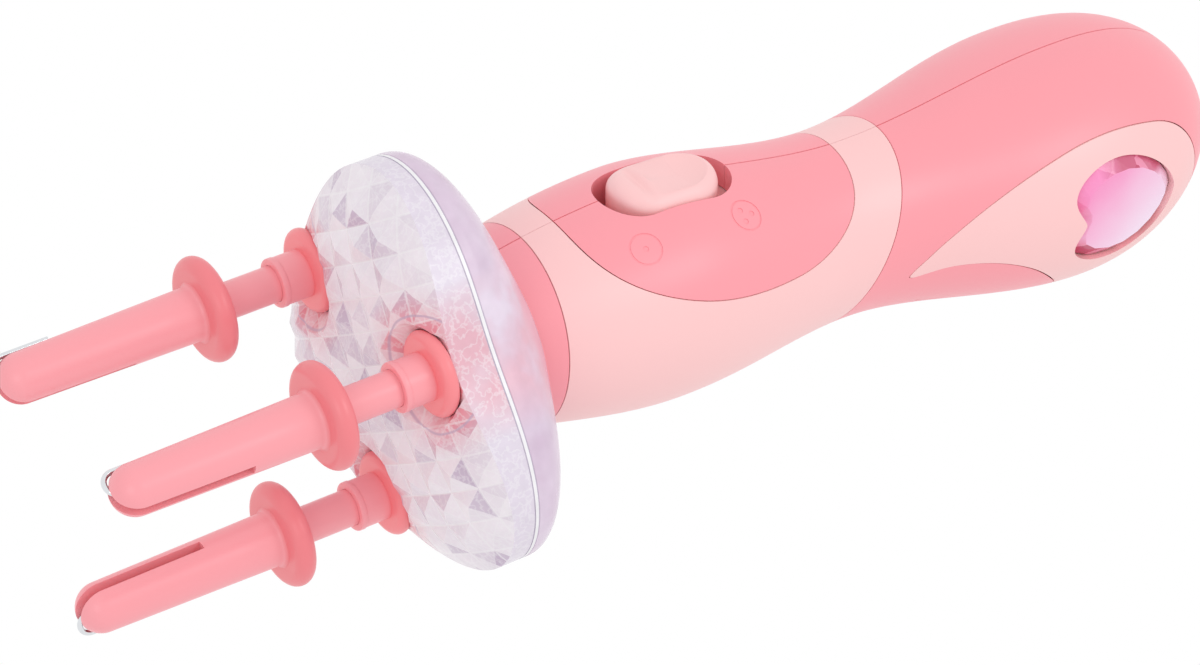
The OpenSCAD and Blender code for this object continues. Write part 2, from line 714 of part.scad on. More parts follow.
// A power above 1 makes the window's front end leaner than an ellipse
window_lean = 1.25;
function window_point(f, grow) = let (front = f < 90, power = front ? window_lean : 1,
        half = front ? window_lowest_x - window_front : window_back - window_lowest_x,
        high = front ? window_front_z : window_back_z, low = window_low - grow)
    [window_lowest_x - sign(cos(f)) * (half + grow) * pow(abs(cos(f)), power),
     high - (high - low) * pow(sin(f), power)];
function window_points(grow) =
    concat([[window_back + grow, reach], [window_front - grow, reach]],
        [for (f = [0:9:180]) window_point(f, grow)]);

// Side outline of the grip panels, with both ends slanted
panel_front = handle_x + 5;
panel_lean = 0.12;
function grip_points(grow) = let (front = panel_front - grow, back = waist_x + 4.5 + grow)
    [[front - reach * panel_lean, -reach], [back - reach * waist_slant, -reach],
     [back + reach * waist_slant, reach], [front + reach * panel_lean, reach]];

// Side outline of the gem panels: a teardrop whose point looks forward, drawn from the bulb's
// widest place for a rear half of the handle 97.2 long
panel_scale = (butt_x - waist_x) / 97.2;
teardrop = [[-48, -10.2], [-43, -5.1], [-37, -1.2], [-30, 2.4], [-22, 5.6], [-14, 8], [-6, 9.6],
    [2, 10], [10, 9.2], [17, 7.2], [22, 3.6], [25.2, -1.6], [26.4, -8], [25.2, -15], [21, -22],
    [14, -29], [6, -36], [-4, -36], [-8, -28], [-13, -21.4], [-19.5, -15.6], [-28, -11.6], [-38, -9.8]];
teardrop_middle = [-3, -9];
function gem_panel_points(grow) = [for (p = teardrop)
    [bulb_x, 0] + panel_scale * p + grow * (p - teardrop_middle) / norm(p - teardrop_middle)];

// A thin layer of the handle's skin between two depths
module skin_layer(out, deep) difference() {
    handle_skin(-out);
    handle_skin(deep, handle_x - 1);
}

// Heart outline in the XZ plane: notch towards the prongs, rounded tip towards the butt
heart_steps = 36;
heart_notch = 0.45;
heart_span = 1.688;
function heart_points(scale, grow) = [for (k = [0:heart_steps - 1]) let (
        t = 360 * k / heart_steps, s = sin(t), turn = min(t, 360 - t) / 31.5,
        v = cos(t) - heart_notch * exp(-turn * turn),
        p = [0.45 * gem_l - (1 + v) / heart_span * gem_l, sign(s) * pow(abs(s), 1.3) * gem_w / 2])
    gem_tip - [0.45 * gem_l, 0] + p * scale * (1 + grow / norm(p))];

gem_floor_y = bulb_size[0] - 5.4;
cup_wall = 1.4;
gem_girdle_t = 1.2;
gem_table_y = gem_floor_y + 3.4;

// The heart's outline, drawn outward on one side from the floor of its recess
module heart_prism(side, grow) {
    from = gem_floor_y - grow;
    y_prism(heart_points(1, grow), side > 0 ? from : -reach, side > 0 ? reach : -from);
}

module door_block(grow) {
    translate([door_x - grow, -door_half_w - grow, -reach])
        cube([door_l + 2 * grow, 2 * (door_half_w + grow), reach + cell_z - 3]);
}

module screw_bosses() {
    for (p = case_screw_places)
        translate([p[0], reach, p[1]]) rotate([90, 0, 0]) cylinder(r = case_boss_r, h = 2 * reach);
    at_switch_ears() cylinder(r = ear_boss_r, h = reach);
}

// The slot that the switch button slides in
module slot_block() oval_plate(button_l + 2 * (button_travel + free_gap), button_w + 2 * free_gap, 0, reach);

// Ring ribs that hold the rims of the gear plates
module plate_seat(x) intersection() {
    handle_skin(shell_inset - 0.4);
    translate([x, -reach, -reach]) cube([plate_t, 2 * reach, 2 * reach]);
}

module case_half(side) color(hot_pink) difference() {
    one_skin() intersection() {
        side_half(side);
        difference() {
            union() {
                difference() {
                    handle_skin(0);
                    handle_skin(shell_inset, front_wall_end);
                }
                intersection() {
                    screw_bosses();
                    handle_skin(panel_t + 0.6);
                }
                for (x = [front_plate_x, rear_plate_x]) difference() {
                    plate_seat(x);
                    x_cyl(plate_r + panel_gap, x - 1, x + plate_t + 1);
                }
            }
            intersection() {
                difference() {
                    y_prism(grip_points(panel_gap), -reach, reach);
                    y_prism(window_points(-panel_gap), -reach - 1, reach + 1);
                }
                skin_layer(2, panel_t + panel_gap);
            }
            intersection() {
                y_prism(gem_panel_points(panel_gap), -reach, reach);
                skin_layer(2, panel_t + panel_gap);
            }
            for (s = [-1, 1]) heart_prism(s, cup_wall + panel_gap);
            slot_block();
            door_block(panel_gap);
        }
    }
    x_cyl(bush_r, handle_x - 2, front_wall_end + 0.5);
    at_switch_ears() translate([0, 0, -1]) cylinder(r = switch_screw_r, h = switch_screw_l);
    for (p = case_screw_places) translate([p[0], 0, p[1]]) rotate([90, 0, 0]) {
        if (side < 0) translate([0, 0, -1]) cylinder(r = screw_r, h = screw_bite_l + 2);
        if (side > 0) translate([0, 0, -screw_seat_y - 1]) cylinder(r = screw_r + 0.3, h = screw_seat_y + 2);
        if (side > 0) translate([0, 0, -reach]) cylinder(r = screw_head_r + 0.4, h = reach - screw_seat_y);
    }
}

module left_case() case_half(-1);
module right_case() case_half(1);

module grip_panel(side) color(pale_pink) one_skin() intersection() {
    side_half(side);
    difference() {
        y_prism(grip_points(0), -reach, reach);
        y_prism(window_points(0), -reach - 1, reach + 1);
    }
    skin_layer(0, panel_t);
}

module left_grip_panel() grip_panel(-1);
module right_grip_panel() grip_panel(1);

keel_half_w = 2;
module gem_panel(side) color(pale_pink) one_skin() difference() {
    union() {
        intersection() {
            side_half(side);
            y_prism(gem_panel_points(0), -reach, reach);
            skin_layer(0, panel_t);
        }
        intersection() {
            side_half(side);
            heart_prism(side, cup_wall);
            handle_skin(panel_t / 2);
        }
    }
    heart_prism(side, 0);
    door_block(panel_gap);
    translate([0, -keel_half_w, -reach]) cube([butt_x + 1, 2 * keel_half_w, reach + cell_z - cell_d / 2]);
}

module left_gem_panel() gem_panel(-1);
module right_gem_panel() gem_panel(1);

// A heart-shaped cut stone: girdle, crown facets and a flat table
module gem(side) color([0.98, 0.72, 0.85]) {
    levels = [[gem_floor_y + 0.05, 0.92, -0.1], [gem_floor_y + 0.5, 1, -0.1],
        [gem_floor_y + gem_girdle_t, 1, -0.1], [gem_table_y, 0.8, 0]];
    ordered = side > 0 ? levels : [for (k = [len(levels) - 1:-1:0]) levels[k]];
    n = heart_steps;
    rings = [for (l = ordered) [for (p = heart_points(l[1], l[2])) [p[0], side * l[0], p[1]]]];
    polyhedron(points = [for (r = rings) each r], faces = concat(
        [[for (i = [n - 1:-1:0]) i]],
        [for (k = [0:len(rings) - 2], i = [0:n - 1]) each [
            [k * n + i, k * n + (i + 1) % n, (k + 1) * n + (i + 1) % n],
            [k * n + i, (k + 1) * n + (i + 1) % n, (k + 1) * n + i]]],
        [[for (i = [0:n - 1]) (len(rings) - 1) * n + i]]));
}

module left_gem() gem(-1);
module right_gem() gem(1);

screw_bite_l = 8;
module case_screws() color(steel) for (p = case_screw_places)
    translate([p[0], screw_seat_y, p[1]]) rotate([90, 0, 0]) {
        cylinder(r = screw_r, h = screw_seat_y + screw_bite_l);
        translate([0, 0, -screw_head_l]) cylinder(r = screw_head_r, h = screw_head_l);
    }

// ---- switch ----

handle_top_z = handle_z(switch_x) + handle_size(switch_x)[1];
// Height of the shell's inner face at x, a distance y from the middle plane
function shell_roof_z(x, y) = let (s = handle_size(x))
    handle_z(x) + (s[1] - shell_inset) * sqrt(1 - pow(y / (s[0] - shell_inset), 2));
// The skirt covers the slot from below, low enough to clear the shell at its rear end
skirt_l = button_l + 7;
skirt_w = button_w + 2 * free_gap + 1.2;
skirt_t = 1.2;
skirt_z = shell_roof_z(switch_x + skirt_l / 2 + button_travel, skirt_w / 2) - skirt_t - 0.3;
switch_floor_z = 9.8;
switch_plate_t = 1.2;
switch_ear_x = 23.4;
switch_ear_y = -4.8;
switch_ear_end = switch_ear_x + 3;
switch_screw_r = 1;
switch_screw_l = 3;
ear_boss_r = 2.6;
// The ears lie low enough to clear the shell at their rear end, which the handle slopes down to
ear_top_z = min(skirt_z - free_gap, shell_roof_z(switch_x + switch_ear_end, switch_ear_y - 3) - 0.8);

// Both ear screws go up into bosses of the left case half
module at_switch_ears() for (s = [-1, 1])
    translate([switch_x + s * switch_ear_x, switch_ear_y, ear_top_z]) children();

module oval_plate(l, w, z0, z1) translate([switch_x, 0, z0]) {
    translate([(w - l) / 2, -w / 2, 0]) cube([l - w, w, z1 - z0]);
    for (s = [-1, 1]) translate([s * (l - w) / 2, 0, 0]) cylinder(r = w / 2, h = z1 - z0);
}

// The button's crown follows the handle's back; a finger groove and a thumb hollow cross it
button_top_z = handle_top_z + button_rise;
crown_r = handle_size(switch_x)[0];
crown_tilt = 4;
peg_w = 4;
peg_l = 2.2;
// A dip across the crown, of the given depth and half width
module button_dip(x, depth, half) {
    r = (half * half + depth * depth) / (2 * depth);
    translate([x, 0, button_top_z - depth + r]) rotate([90, 0, 0])
        cylinder(r = r, h = 2 * button_w, center = true);
}

module switch_button() color(pale_pink) {
    difference() {
        intersection() {
            oval_plate(button_l, button_w, skirt_z, button_top_z + 1);
            translate([switch_x, 0, button_top_z - crown_r]) rotate([0, crown_tilt, 0])
                x_cyl(crown_r, -button_l, button_l);
        }
        button_dip(switch_x - button_l / 4, 0.7, button_l / 12);
        button_dip(switch_x + button_l / 12, 0.9, button_l / 4);
    }
    translate([switch_x - skirt_l / 2, -skirt_w / 2, skirt_z]) cube([skirt_l, skirt_w, skirt_t]);
    translate([switch_x - peg_w / 2, -peg_w / 2, skirt_z - peg_l]) cube([peg_w, peg_w, peg_l + 0.1]);
}

module switch_body() color([0.2, 0.2, 0.22]) difference() {
    union() {
        translate([switch_x - 13, -4.5, switch_floor_z])
            cube([26, 9, skirt_z - free_gap - switch_floor_z]);
        translate([switch_x - switch_ear_end, switch_ear_y - 3, ear_top_z - switch_plate_t])
            cube([2 * switch_ear_end, 6 - switch_ear_y, switch_plate_t]);
    }
    translate([switch_x - peg_w / 2 - button_travel - 1, -peg_w / 2 - free_gap, skirt_z - peg_l - 0.6])
        cube([peg_w + 2 * button_travel + 2, peg_w + 2 * free_gap, 4]);
    at_switch_ears() translate([0, 0, -switch_plate_t - 1])
        cylinder(r = switch_screw_r, h = switch_plate_t + 2);
}

module switch_screws() color(steel) at_switch_ears() {
    translate([0, 0, -switch_plate_t]) cylinder(r = switch_screw_r, h = switch_plate_t + 1.8);
    translate([0, 0, -switch_plate_t - 1]) cylinder(r = 2, h = 1);
}

// ---- battery compartment ----

tray_gap = 0.3;
tray_roof_z = cell_z + cell_d / 2 + tray_gap;
tray_half_w = cell_y + cell_d / 2 + 1.6;
tray_end_half_w = gem_floor_y - cup_wall - 0.6;
post_half_w = 3.4;
screw_post_l = tray_x + tray_l - door_screw_x + post_half_w - 0.2;

module battery_tray() color(natural) difference() {
    one_skin() intersection() {
        handle_skin(shell_inset + tray_gap);
        union() {
            for (x = [tray_x, tray_x + tray_l - tray_wall])
                translate([x, -tray_end_half_w, -reach]) cube([tray_wall, 2 * tray_end_half_w, 2 * reach]);
            translate([tray_x, -tray_half_w, tray_roof_z]) cube([tray_l, 2 * tray_half_w, tray_wall]);
            translate([tray_x, -0.3, cell_z]) cube([plate_back_x - tray_x - 0.1, 0.6, cell_d / 2 + 1]);
            translate([tray_x + tray_l - screw_post_l, -post_half_w, -reach])
                cube([screw_post_l, 2 * post_half_w, reach + cell_z - cell_d / 2 - 1]);
        }
    }
    translate([door_screw_x, 0, -reach])
        cylinder(r = door_screw_r + run_fit, h = reach + cell_z - cell_d / 2 - 2);
}

cell_tip_l = 1.2;

// The two cells lie head to tail, each with its tip on a plate and its flat end on a spring
module battery_cells() color([0.85, 0.87, 0.9]) for (s = [-1, 1])
    translate([s > 0 ? plate_front_x : plate_back_x, s * cell_y, cell_z]) mirror([s > 0 ? 0 : 1, 0, 0]) {
        x_cyl(2.7, 0, cell_tip_l);
        x_cyl(cell_d / 2, cell_tip_l, cell_l);
    }

contact_half_w = 5;
module contact_plates() color(steel) {
    for (s = [-1, 1]) translate([plate_front_x - contact_t, s * cell_y - contact_half_w,
            cell_z - contact_half_w]) cube([contact_t, 2 * contact_half_w, 2 * contact_half_w]);
    translate([plate_back_x, -cell_y - contact_half_w, cell_z - contact_half_w])
        cube([contact_t, 2 * (cell_y + contact_half_w), 2 * contact_half_w]);
}

contact_wire_r = 0.4;
contact_turns = 4;
module contact_springs() color(steel) for (s = [-1, 1]) for (k = [0:contact_turns - 1])
    translate([s < 0 ? plate_front_x : plate_back_x, s * cell_y, cell_z])
        translate([-s * (contact_wire_r + 0.05 + k * contact_spring_l / contact_turns), 0, 0])
            rotate([0, 90, 0]) rotate_extrude() translate([4.4 - k * 0.6, 0])
                circle(contact_wire_r, $fn = 16);

module battery_door() color(hot_pink) difference() {
    one_skin() intersection() {
        door_block(0);
        skin_layer(0, shell_inset);
    }
    translate([door_screw_x, 0, -reach]) cylinder(r = door_screw_r + 0.3, h = reach);
    translate([door_screw_x, 0, door_screw_z + door_head_l - reach])
        cylinder(r = door_head_r + free_gap, h = reach);
}
door_screw_r = 1.2;
door_head_r = 2.6;
door_head_l = 1.2;
door_screw_z = handle_z(door_screw_x) - handle_size(door_screw_x)[1] + 1;

module door_screw() color(steel) translate([door_screw_x, 0, door_screw_z]) difference() {
    union() {
        cylinder(r = door_head_r, h = door_head_l);
        cylinder(r = door_screw_r, h = 8);
    }
    for (a = [0, 90]) rotate([0, 0, a]) translate([-1.6, -0.3, -0.1]) cube([3.2, 0.6, 0.8]);
}

front_dome();
rear_cover();
far_spindle();
near_spindle();
low_spindle();
far_sleeve();
near_sleeve();
low_sleeve();
far_hook();
near_hook();
low_hook();
far_spring();
near_spring();
low_spring();
far_clip();
near_clip();
low_clip();
sun_gear();
output_shaft();
output_gear();
head_retainer();
neck_bush();
first_arbor();
first_gear();
second_arbor();
second_gear();
motor_bush();
motor_shaft();
motor_pinion();
front_plate();
rear_plate();
plate_spacers();
motor_can();
motor_cap();
motor_screws();
left_case();
right_case();
left_grip_panel();
right_grip_panel();
left_gem_panel();
right_gem_panel();
left_gem();
right_gem();
case_screws();
switch_button();
switch_body();
switch_screws();
battery_tray();
battery_cells();
contact_plates();
contact_springs();
battery_door();
door_screw();
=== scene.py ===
"""The looks of the automatic hair braider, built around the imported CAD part.

Lengths are in millimetres until mesh_object() turns them into metres. X runs from the prongs' tips
to the butt, Z is up, and -Y is the side that the camera sees.
"""

import json
import math

import bmesh
import bpy
from mathutils import Matrix, Vector

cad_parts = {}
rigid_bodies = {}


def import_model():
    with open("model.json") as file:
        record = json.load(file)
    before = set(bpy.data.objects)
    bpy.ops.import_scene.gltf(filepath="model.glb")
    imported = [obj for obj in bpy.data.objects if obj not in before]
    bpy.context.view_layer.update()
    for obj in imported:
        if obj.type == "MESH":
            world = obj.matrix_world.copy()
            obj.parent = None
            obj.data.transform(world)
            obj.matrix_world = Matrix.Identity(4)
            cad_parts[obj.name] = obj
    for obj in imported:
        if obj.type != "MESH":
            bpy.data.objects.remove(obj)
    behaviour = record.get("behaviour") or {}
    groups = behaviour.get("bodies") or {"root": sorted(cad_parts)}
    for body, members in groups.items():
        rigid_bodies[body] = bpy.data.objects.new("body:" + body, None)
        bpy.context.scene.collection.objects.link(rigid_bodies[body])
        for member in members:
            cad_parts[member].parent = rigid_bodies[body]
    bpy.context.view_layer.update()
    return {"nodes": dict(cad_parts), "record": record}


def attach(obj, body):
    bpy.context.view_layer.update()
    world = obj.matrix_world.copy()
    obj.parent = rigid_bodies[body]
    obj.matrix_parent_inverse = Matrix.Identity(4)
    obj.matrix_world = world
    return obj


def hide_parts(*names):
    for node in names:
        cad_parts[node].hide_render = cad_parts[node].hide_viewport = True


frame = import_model()

MM = 0.001

# Handle: places along X, and half widths and half heights, as in the part's source
HANDLE_X, COLLAR = 28, (20.8, 20.2)
GRIP_X, GRIP, GRIP_DROP = 65, (26, 25), 1.4
WAIST_X, WAIST = 111, (20.1, 20.6)
BULB_X, BULB, BULB_DROP = 168, (30.2, 27.4), 7.8
BUTT_X, BUTT_DROP, BUTT_END, BUTT_POWER = 208.2, 5.8, 88, 2.2
BEND_LEAD = 0.74
CASE_WALL = 1.8
PANEL_T = 1.2
SHELL_INSET = CASE_WALL + PANEL_T
FRONT_WALL_END = HANDLE_X + 3
BUSH_R = 13
PANEL_GAP = 0.24
SEAM_HALF = 0.05
GROOVE_HALF = 0.14
GROOVE_DEPTH = 0.35
REACH = 62

# Window on top of the grip, and the grip panels around it
WINDOW_FRONT, WINDOW_LOWEST, WINDOW_BACK = GRIP_X - 22, WAIST_X - 19, WAIST_X + 2
WINDOW_LOW, WINDOW_FRONT_Z, WINDOW_BACK_Z = 3, GRIP[1] - 2, WAIST[1] - 1.6
WINDOW_LEAN = 1.25
PANEL_FRONT, PANEL_LEAN, PANEL_BACK, WAIST_SLANT = HANDLE_X + 5, 0.12, WAIST_X + 4.5, 0.58

# Round marks beside the switch on the left case: place along X, angle round the handle, dots in the ring
MARKS = ((56.4, 124.3, 1), (81.7, 123.9, 3))
MARK_R, MARK_LINE, MARK_DEPTH = 3.6, 0.4, 0.12
DOT_R, DOT_RING_R = 0.62, 1.5

# Switch
SWITCH_X = 69.8
BUTTON_L, BUTTON_W, BUTTON_RISE = 24.6, 16.8, 1.3
BUTTON_TRAVEL = 3
FREE_GAP = 0.4
SKIRT_L, SKIRT_W, SKIRT_T = BUTTON_L + 7, BUTTON_W + 2 * FREE_GAP + 1.2, 1.2
PEG_W, PEG_L = 4, 2.2
SLOT_RIM, SKIRT_GAP = 1, 0.25
CROWN_TILT = 4
FINGER_DEPTH, FINGER_HALF_L, FINGER_HALF_W = 0.8, 1.1, 7
HOLLOW_DEPTH, HOLLOW_HALF_W, HOLLOW_POWER = 1.9, 6.4, 0.8

# Battery door and its screw
TRAY_X = 125
DOOR_X, DOOR_L, DOOR_HALF_W = TRAY_X + 1, 58, 15.6
DOOR_TOP_Z = -BULB_DROP - 1.2 - 3
DOOR_SCREW_X, DOOR_HOLE_R, HOLE_TOP_Z = DOOR_X + DOOR_L - 5, 3, -22
UNDER_Z = -20
RIBS, RIB_X, RIB_PITCH, RIB_W, RIB_HALF_L, RIB_DEPTH = 5, 8, 2.4, 1, 8, 0.5

# Gem
GEM_L, GEM_W = 27.3, 24.6
GEM_TO_TIP = 0.45 * GEM_L
NOTCH, NOTCH_DEGREES, HEART_SPAN, HEART_POWER = 0.45, 31.5, 1.688, 1.3
GEM_TIP = (BULB_X + 17.1, -BULB_DROP + 1.1)
GEM_FLOOR_Y = BULB[0] - 5.4
GEM_GIRDLE = 1.2
GEM_TABLE_Y = GEM_FLOOR_Y + 3.4
CUP_WALL = 1.4
KEEL_HALF = 2

# Head
PRONG_CIRCLE_R = 28
HEAD_TURN = -5.5
FLAT_R, CORNER_R = 35.2, 46.4
NOSE_X, DOME_RISE, SEAM_X = -2.6, 8.6, 11.2
AHEAD_X, BEHIND_X = NOSE_X - 5, SEAM_X + 20
CLEAR_WALL = 1.6
RELIEF_PITCH, RELIEF_H, RELIEF_TURN = (7, 8.2), 1.2, 60
RELIEF_FADE = 7
RELIEF_CELLS = [2 * math.ceil(CORNER_R / pitch) + 1 for pitch in RELIEF_PITCH]
SEAM_BAND, SEAM_LINE, SEAM_DEEP = 0.36, 0.2, 0.14
COVER_RIM_X, COVER_BACK_X, COVER_BACK_R = 12.8, 27.0, 24.0
GEAR_X, GEAR_W = 9.6, 3.2
HUB_R, HUB_END_X = 9, 38.5
RETAINER_X, RETAINER_T, RETAINER_GROOVE_R = 36, 1.4, 7.9
OUTPUT_R, RUN_FIT = 3, 0.06
PIVOT_R, PIVOT_L = 2.5, 4.6
BOSS_TUBE_END, BOSS_WALL, PIVOT_WALL, OUTPUT_WALL = 8.2, 1.5, 2, 3
SHANK_R, CLIP_POCKET_R, CLIP_T = 5.6, 6.75, 0.6

# Prongs: angle round the head's axis, and turn of the slot about the prong's own axis
PRONGS = {"far": (30, 20), "near": (150, 235), "low": (270, 5)}
TIP_X = -70.95
BARREL_L, TIP_R, BARREL_R = 44.5, 5.3, 5.8
SLIDE_FLANGE_X = TIP_X + BARREL_L
SLIDE_FLANGE_R, SLIDE_FLANGE_T = 11.3, 4.8
NECK_R, NECK_END_X = 3.9, -1.4
COLLAR_R, COLLAR_L = 5.15, 8.3
BASE_FLANGE_R, BASE_FLANGE_T = 9.1, 3.4
SLOT_W, SLOT_L = 2.3, 28.5
CUP_X = BASE_FLANGE_T * 0.6 + 0.12
CUP_GAP = 0.1
CUP_RIM_X = 0.9
CUP_SIDE = 3.2
CUP_LINE_R = 12.2
MOUTH_GAP, LIP_OUT, LIP_L = 0.45, 0.16, 1.5


# ---------------------------------------------------------------- mesh helpers

def mix(a, b, t):
    return a + (b - a) * t


def ease(t):
    return t * t * (3 - 2 * t)


def clamp01(t):
    return min(max(t, 0), 1)


def new_object(name, data):
    obj = bpy.data.objects.new(name, data)
    bpy.context.scene.collection.objects.link(obj)
    return obj


def mesh_object(name, points, faces):
    """A mesh object from points in millimetres."""
    mesh = bpy.data.meshes.new(name)
    mesh.from_pydata([[c * MM for c in p] for p in points], [], faces)
    mesh.update()
    return new_object(name, mesh)


def polar(r, degrees):
    a = math.radians(degrees)
    return r * math.cos(a), r * math.sin(a)


def circle(r, centre=(0, 0), steps=96):
    angles = (2 * math.pi * i / steps for i in range(steps))
    return [(centre[0] + r * math.cos(a), centre[1] + r * math.sin(a)) for a in angles]


def loft(name, rings, endless=False):
    """A closed skin through equal rings of points, with capped ends or with its end on its start."""
    n, count = len(rings[0]), len(rings)
    points = [p for ring in rings for p in ring]
    faces = []
    for k in range(count if endless else count - 1):
        for i in range(n):
            j, m = (i + 1) % n, (k + 1) % count
            faces.append((k * n + i, m * n + i, m * n + j, k * n + j))
    if not endless:
        faces = [tuple(range(n)), *faces, tuple(reversed(range((count - 1) * n, count * n)))]
    return outward(mesh_object(name, points, faces))


def outward(obj):
    """Turns all faces of a closed mesh outward."""
    work = bmesh.new()
    work.from_mesh(obj.data)
    bmesh.ops.recalc_face_normals(work, faces=work.faces)
    work.to_mesh(obj.data)
    work.free()
    return obj


def lathe(name, profile, endless=False):
    """A profile of (x, r) points turned about X; points with r = 0 close its ends."""
    return loft(name, [[(x, y, z) for y, z in circle(max(r, 0.01))] for x, r in profile], endless)


def prism(name, outline, low, high, axis="y"):
    """A flat outline drawn along Y (points are x, z), X (points are y, z) or Z (points are x, y)."""
    place = {"y": lambda p, h: (p[0], h, p[1]), "x": lambda p, h: (h, p[0], p[1]),
             "z": lambda p, h: (p[0], p[1], h)}[axis]
    return loft(name, [[place(p, low) for p in outline], [place(p, high) for p in outline]])


def block(name, low, high):
    outline = [(low[0], low[1]), (high[0], low[1]), (high[0], high[1]), (low[0], high[1])]
    return prism(name, outline, low[2], high[2], "z")


def bake(obj):
    """Applies the object's modifiers to its mesh."""
    graph = bpy.context.evaluated_depsgraph_get()
    mesh = bpy.data.meshes.new_from_object(obj.evaluated_get(graph))
    obj.modifiers.clear()
    obj.data = mesh


def combine(obj, tool, operation, keep=False):
    """Boolean of obj with tool; the tool is deleted unless keep is true."""
    step = obj.modifiers.new("combine", "BOOLEAN")
    step.object = tool
    step.operation = operation
    step.solver = "MANIFOLD"
    bake(obj)
    if not keep:
        bpy.data.objects.remove(tool)
    return obj


def cut(obj, tool):
    return combine(obj, tool, "DIFFERENCE")


def common(obj, tool, keep=False):
    return combine(obj, tool, "INTERSECT", keep)


def join(obj, tool):
    return combine(obj, tool, "UNION")


def smooth(obj, angle=30):
    """Smooth shading, with sharp edges over an angle in degrees."""
    obj.data.shade_smooth()
    obj.data.set_sharp_from_angle(angle=math.radians(angle))
    return obj


def piece(obj, body, slot, material, *nodes):
    """Hands a finished mesh to the part: its body, material and the nodes it stands for; slot, its finish,
    is not used.
    """
    obj.data.materials.clear()
    obj.data.materials.append(material)
    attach(obj, body)
    if nodes:
        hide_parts(*nodes)


# ---------------------------------------------------------------- materials

def srgb(red, green, blue):
    """A colour given as 0-255 values of a picture, as linear light."""
    def linear(c):
        c = c / 255
        return c / 12.92 if c <= 0.04045 else ((c + 0.055) / 1.055) ** 2.4
    return (linear(red), linear(green), linear(blue), 1)


def new_material(name):
    material = bpy.data.materials.new(name)
    material.use_nodes = True
    tree = material.node_tree
    shader = tree.nodes["Principled BSDF"]
    coords = tree.nodes.new("ShaderNodeTexCoord")
    return material, tree, shader, coords


def noise(tree, coords, scale, detail=2):
    node = tree.nodes.new("ShaderNodeTexNoise")
    node.inputs["Scale"].default_value = scale
    node.inputs["Detail"].default_value = detail
    tree.links.new(coords.outputs["Object"], node.inputs["Vector"])
    return node


def ramp(tree, source, start, end, low=0, high=1):
    """Goes from low at start to high at end, and is clamped outside."""
    node = tree.nodes.new("ShaderNodeMapRange")
    for socket, value in (("From Min", start), ("From Max", end), ("To Min", low), ("To Max", high)):
        node.inputs[socket].default_value = value
    tree.links.new(source, node.inputs["Value"])
    return node.outputs["Result"]


def spread(tree, source, low, high):
    """A share of 0 to 1 spread from low to high."""
    return ramp(tree, source, 0, 1, low, high)


def bump(tree, shader, source, distance, strength=1.0):
    node = tree.nodes.new("ShaderNodeBump")
    node.inputs["Distance"].default_value = distance * MM
    node.inputs["Strength"].default_value = strength
    tree.links.new(source, node.inputs["Height"])
    tree.links.new(node.outputs["Normal"], shader.inputs["Normal"])


def scaled(colour, k):
    """A colour made k times as bright."""
    return tuple(min(c * k, 1) for c in colour[:3]) + (1,)


# Scales of the materials' noises, and depth of the plastics' skin in millimetres
TONE_SCALE, GLOSS_SCALE, SKIN_SCALE, GRAIN = 28, 140, 2600, 0.004
SHAFT_TONE_SCALE, DRAWN_SCALE = 30, 500
CLOUD_SCALE, FINE_SCALE, GLINT_SCALE = 60, 420, 520
HAZE_SCALE, SPARK_SCALE = 90, 260


def moulded_skin(tree, shader, coords, low, high):
    """Uneven gloss between two roughnesses, and a fine skin."""
    gloss = noise(tree, coords, GLOSS_SCALE)
    tree.links.new(spread(tree, gloss.outputs["Fac"], low, high), shader.inputs["Roughness"])
    skin = noise(tree, coords, SKIN_SCALE, 3)
    bump(tree, shader, skin.outputs["Fac"], GRAIN, 0.5)


def plastic(name, colour, roughness=0.36):
    """Moulded plastic: a fine skin, slow changes of tone and uneven gloss."""
    material, tree, shader, coords = new_material(name)
    tone = noise(tree, coords, TONE_SCALE)
    tree.links.new(blend(tree, tone.outputs["Fac"], scaled(colour, 0.985), scaled(colour, 1.015)),
                   shader.inputs["Base Color"])
    moulded_skin(tree, shader, coords, roughness - 0.03, roughness + 0.03)
    return material


def metal(name, colour, roughness, brushed=0.0):
    """Turned or drawn metal with fine lines round X; brushed is their depth in millimetres."""
    material, tree, shader, coords = new_material(name)
    shader.inputs["Metallic"].default_value = 1
    stretch = tree.nodes.new("ShaderNodeMapping")
    stretch.inputs["Scale"].default_value = (14, 1, 1)
    tree.links.new(coords.outputs["Object"], stretch.inputs["Vector"])
    lines = tree.nodes.new("ShaderNodeTexNoise")
    lines.inputs["Scale"].default_value = DRAWN_SCALE
    tree.links.new(stretch.outputs["Vector"], lines.inputs["Vector"])
    tree.links.new(blend(tree, lines.outputs["Fac"], scaled(colour, 0.9), scaled(colour, 1.06)),
                   shader.inputs["Base Color"])
    tree.links.new(spread(tree, lines.outputs["Fac"], max(roughness - 0.05, 0.02), roughness + 0.08),
                   shader.inputs["Roughness"])
    if brushed:
        bump(tree, shader, lines.outputs["Fac"], brushed)
    return material


def math_node(tree, operation, *values):
    """A math node; each value is a number or another node's output."""
    node = tree.nodes.new("ShaderNodeMath")
    node.operation = operation
    for socket, value in zip(node.inputs, values):
        if isinstance(value, (int, float)):
            socket.default_value = value
        else:
            tree.links.new(value, socket)
    return node.outputs["Value"]


def times(tree, first, second):
    return math_node(tree, "MULTIPLY", first, second)


def vector_node(tree, operation, source, value):
    node = tree.nodes.new("ShaderNodeVectorMath")
    node.operation = operation
    node.inputs[1].default_value = value
    tree.links.new(source, node.inputs[0])
    return node.outputs


def along(tree, coords, direction):
    """The place on the object measured along a direction, times the direction's length."""
    return vector_node(tree, "DOT_PRODUCT", coords.outputs["Object"], direction)["Value"]


def distance_from(tree, source, value):
    return math_node(tree, "ABSOLUTE", math_node(tree, "SUBTRACT", source, value))


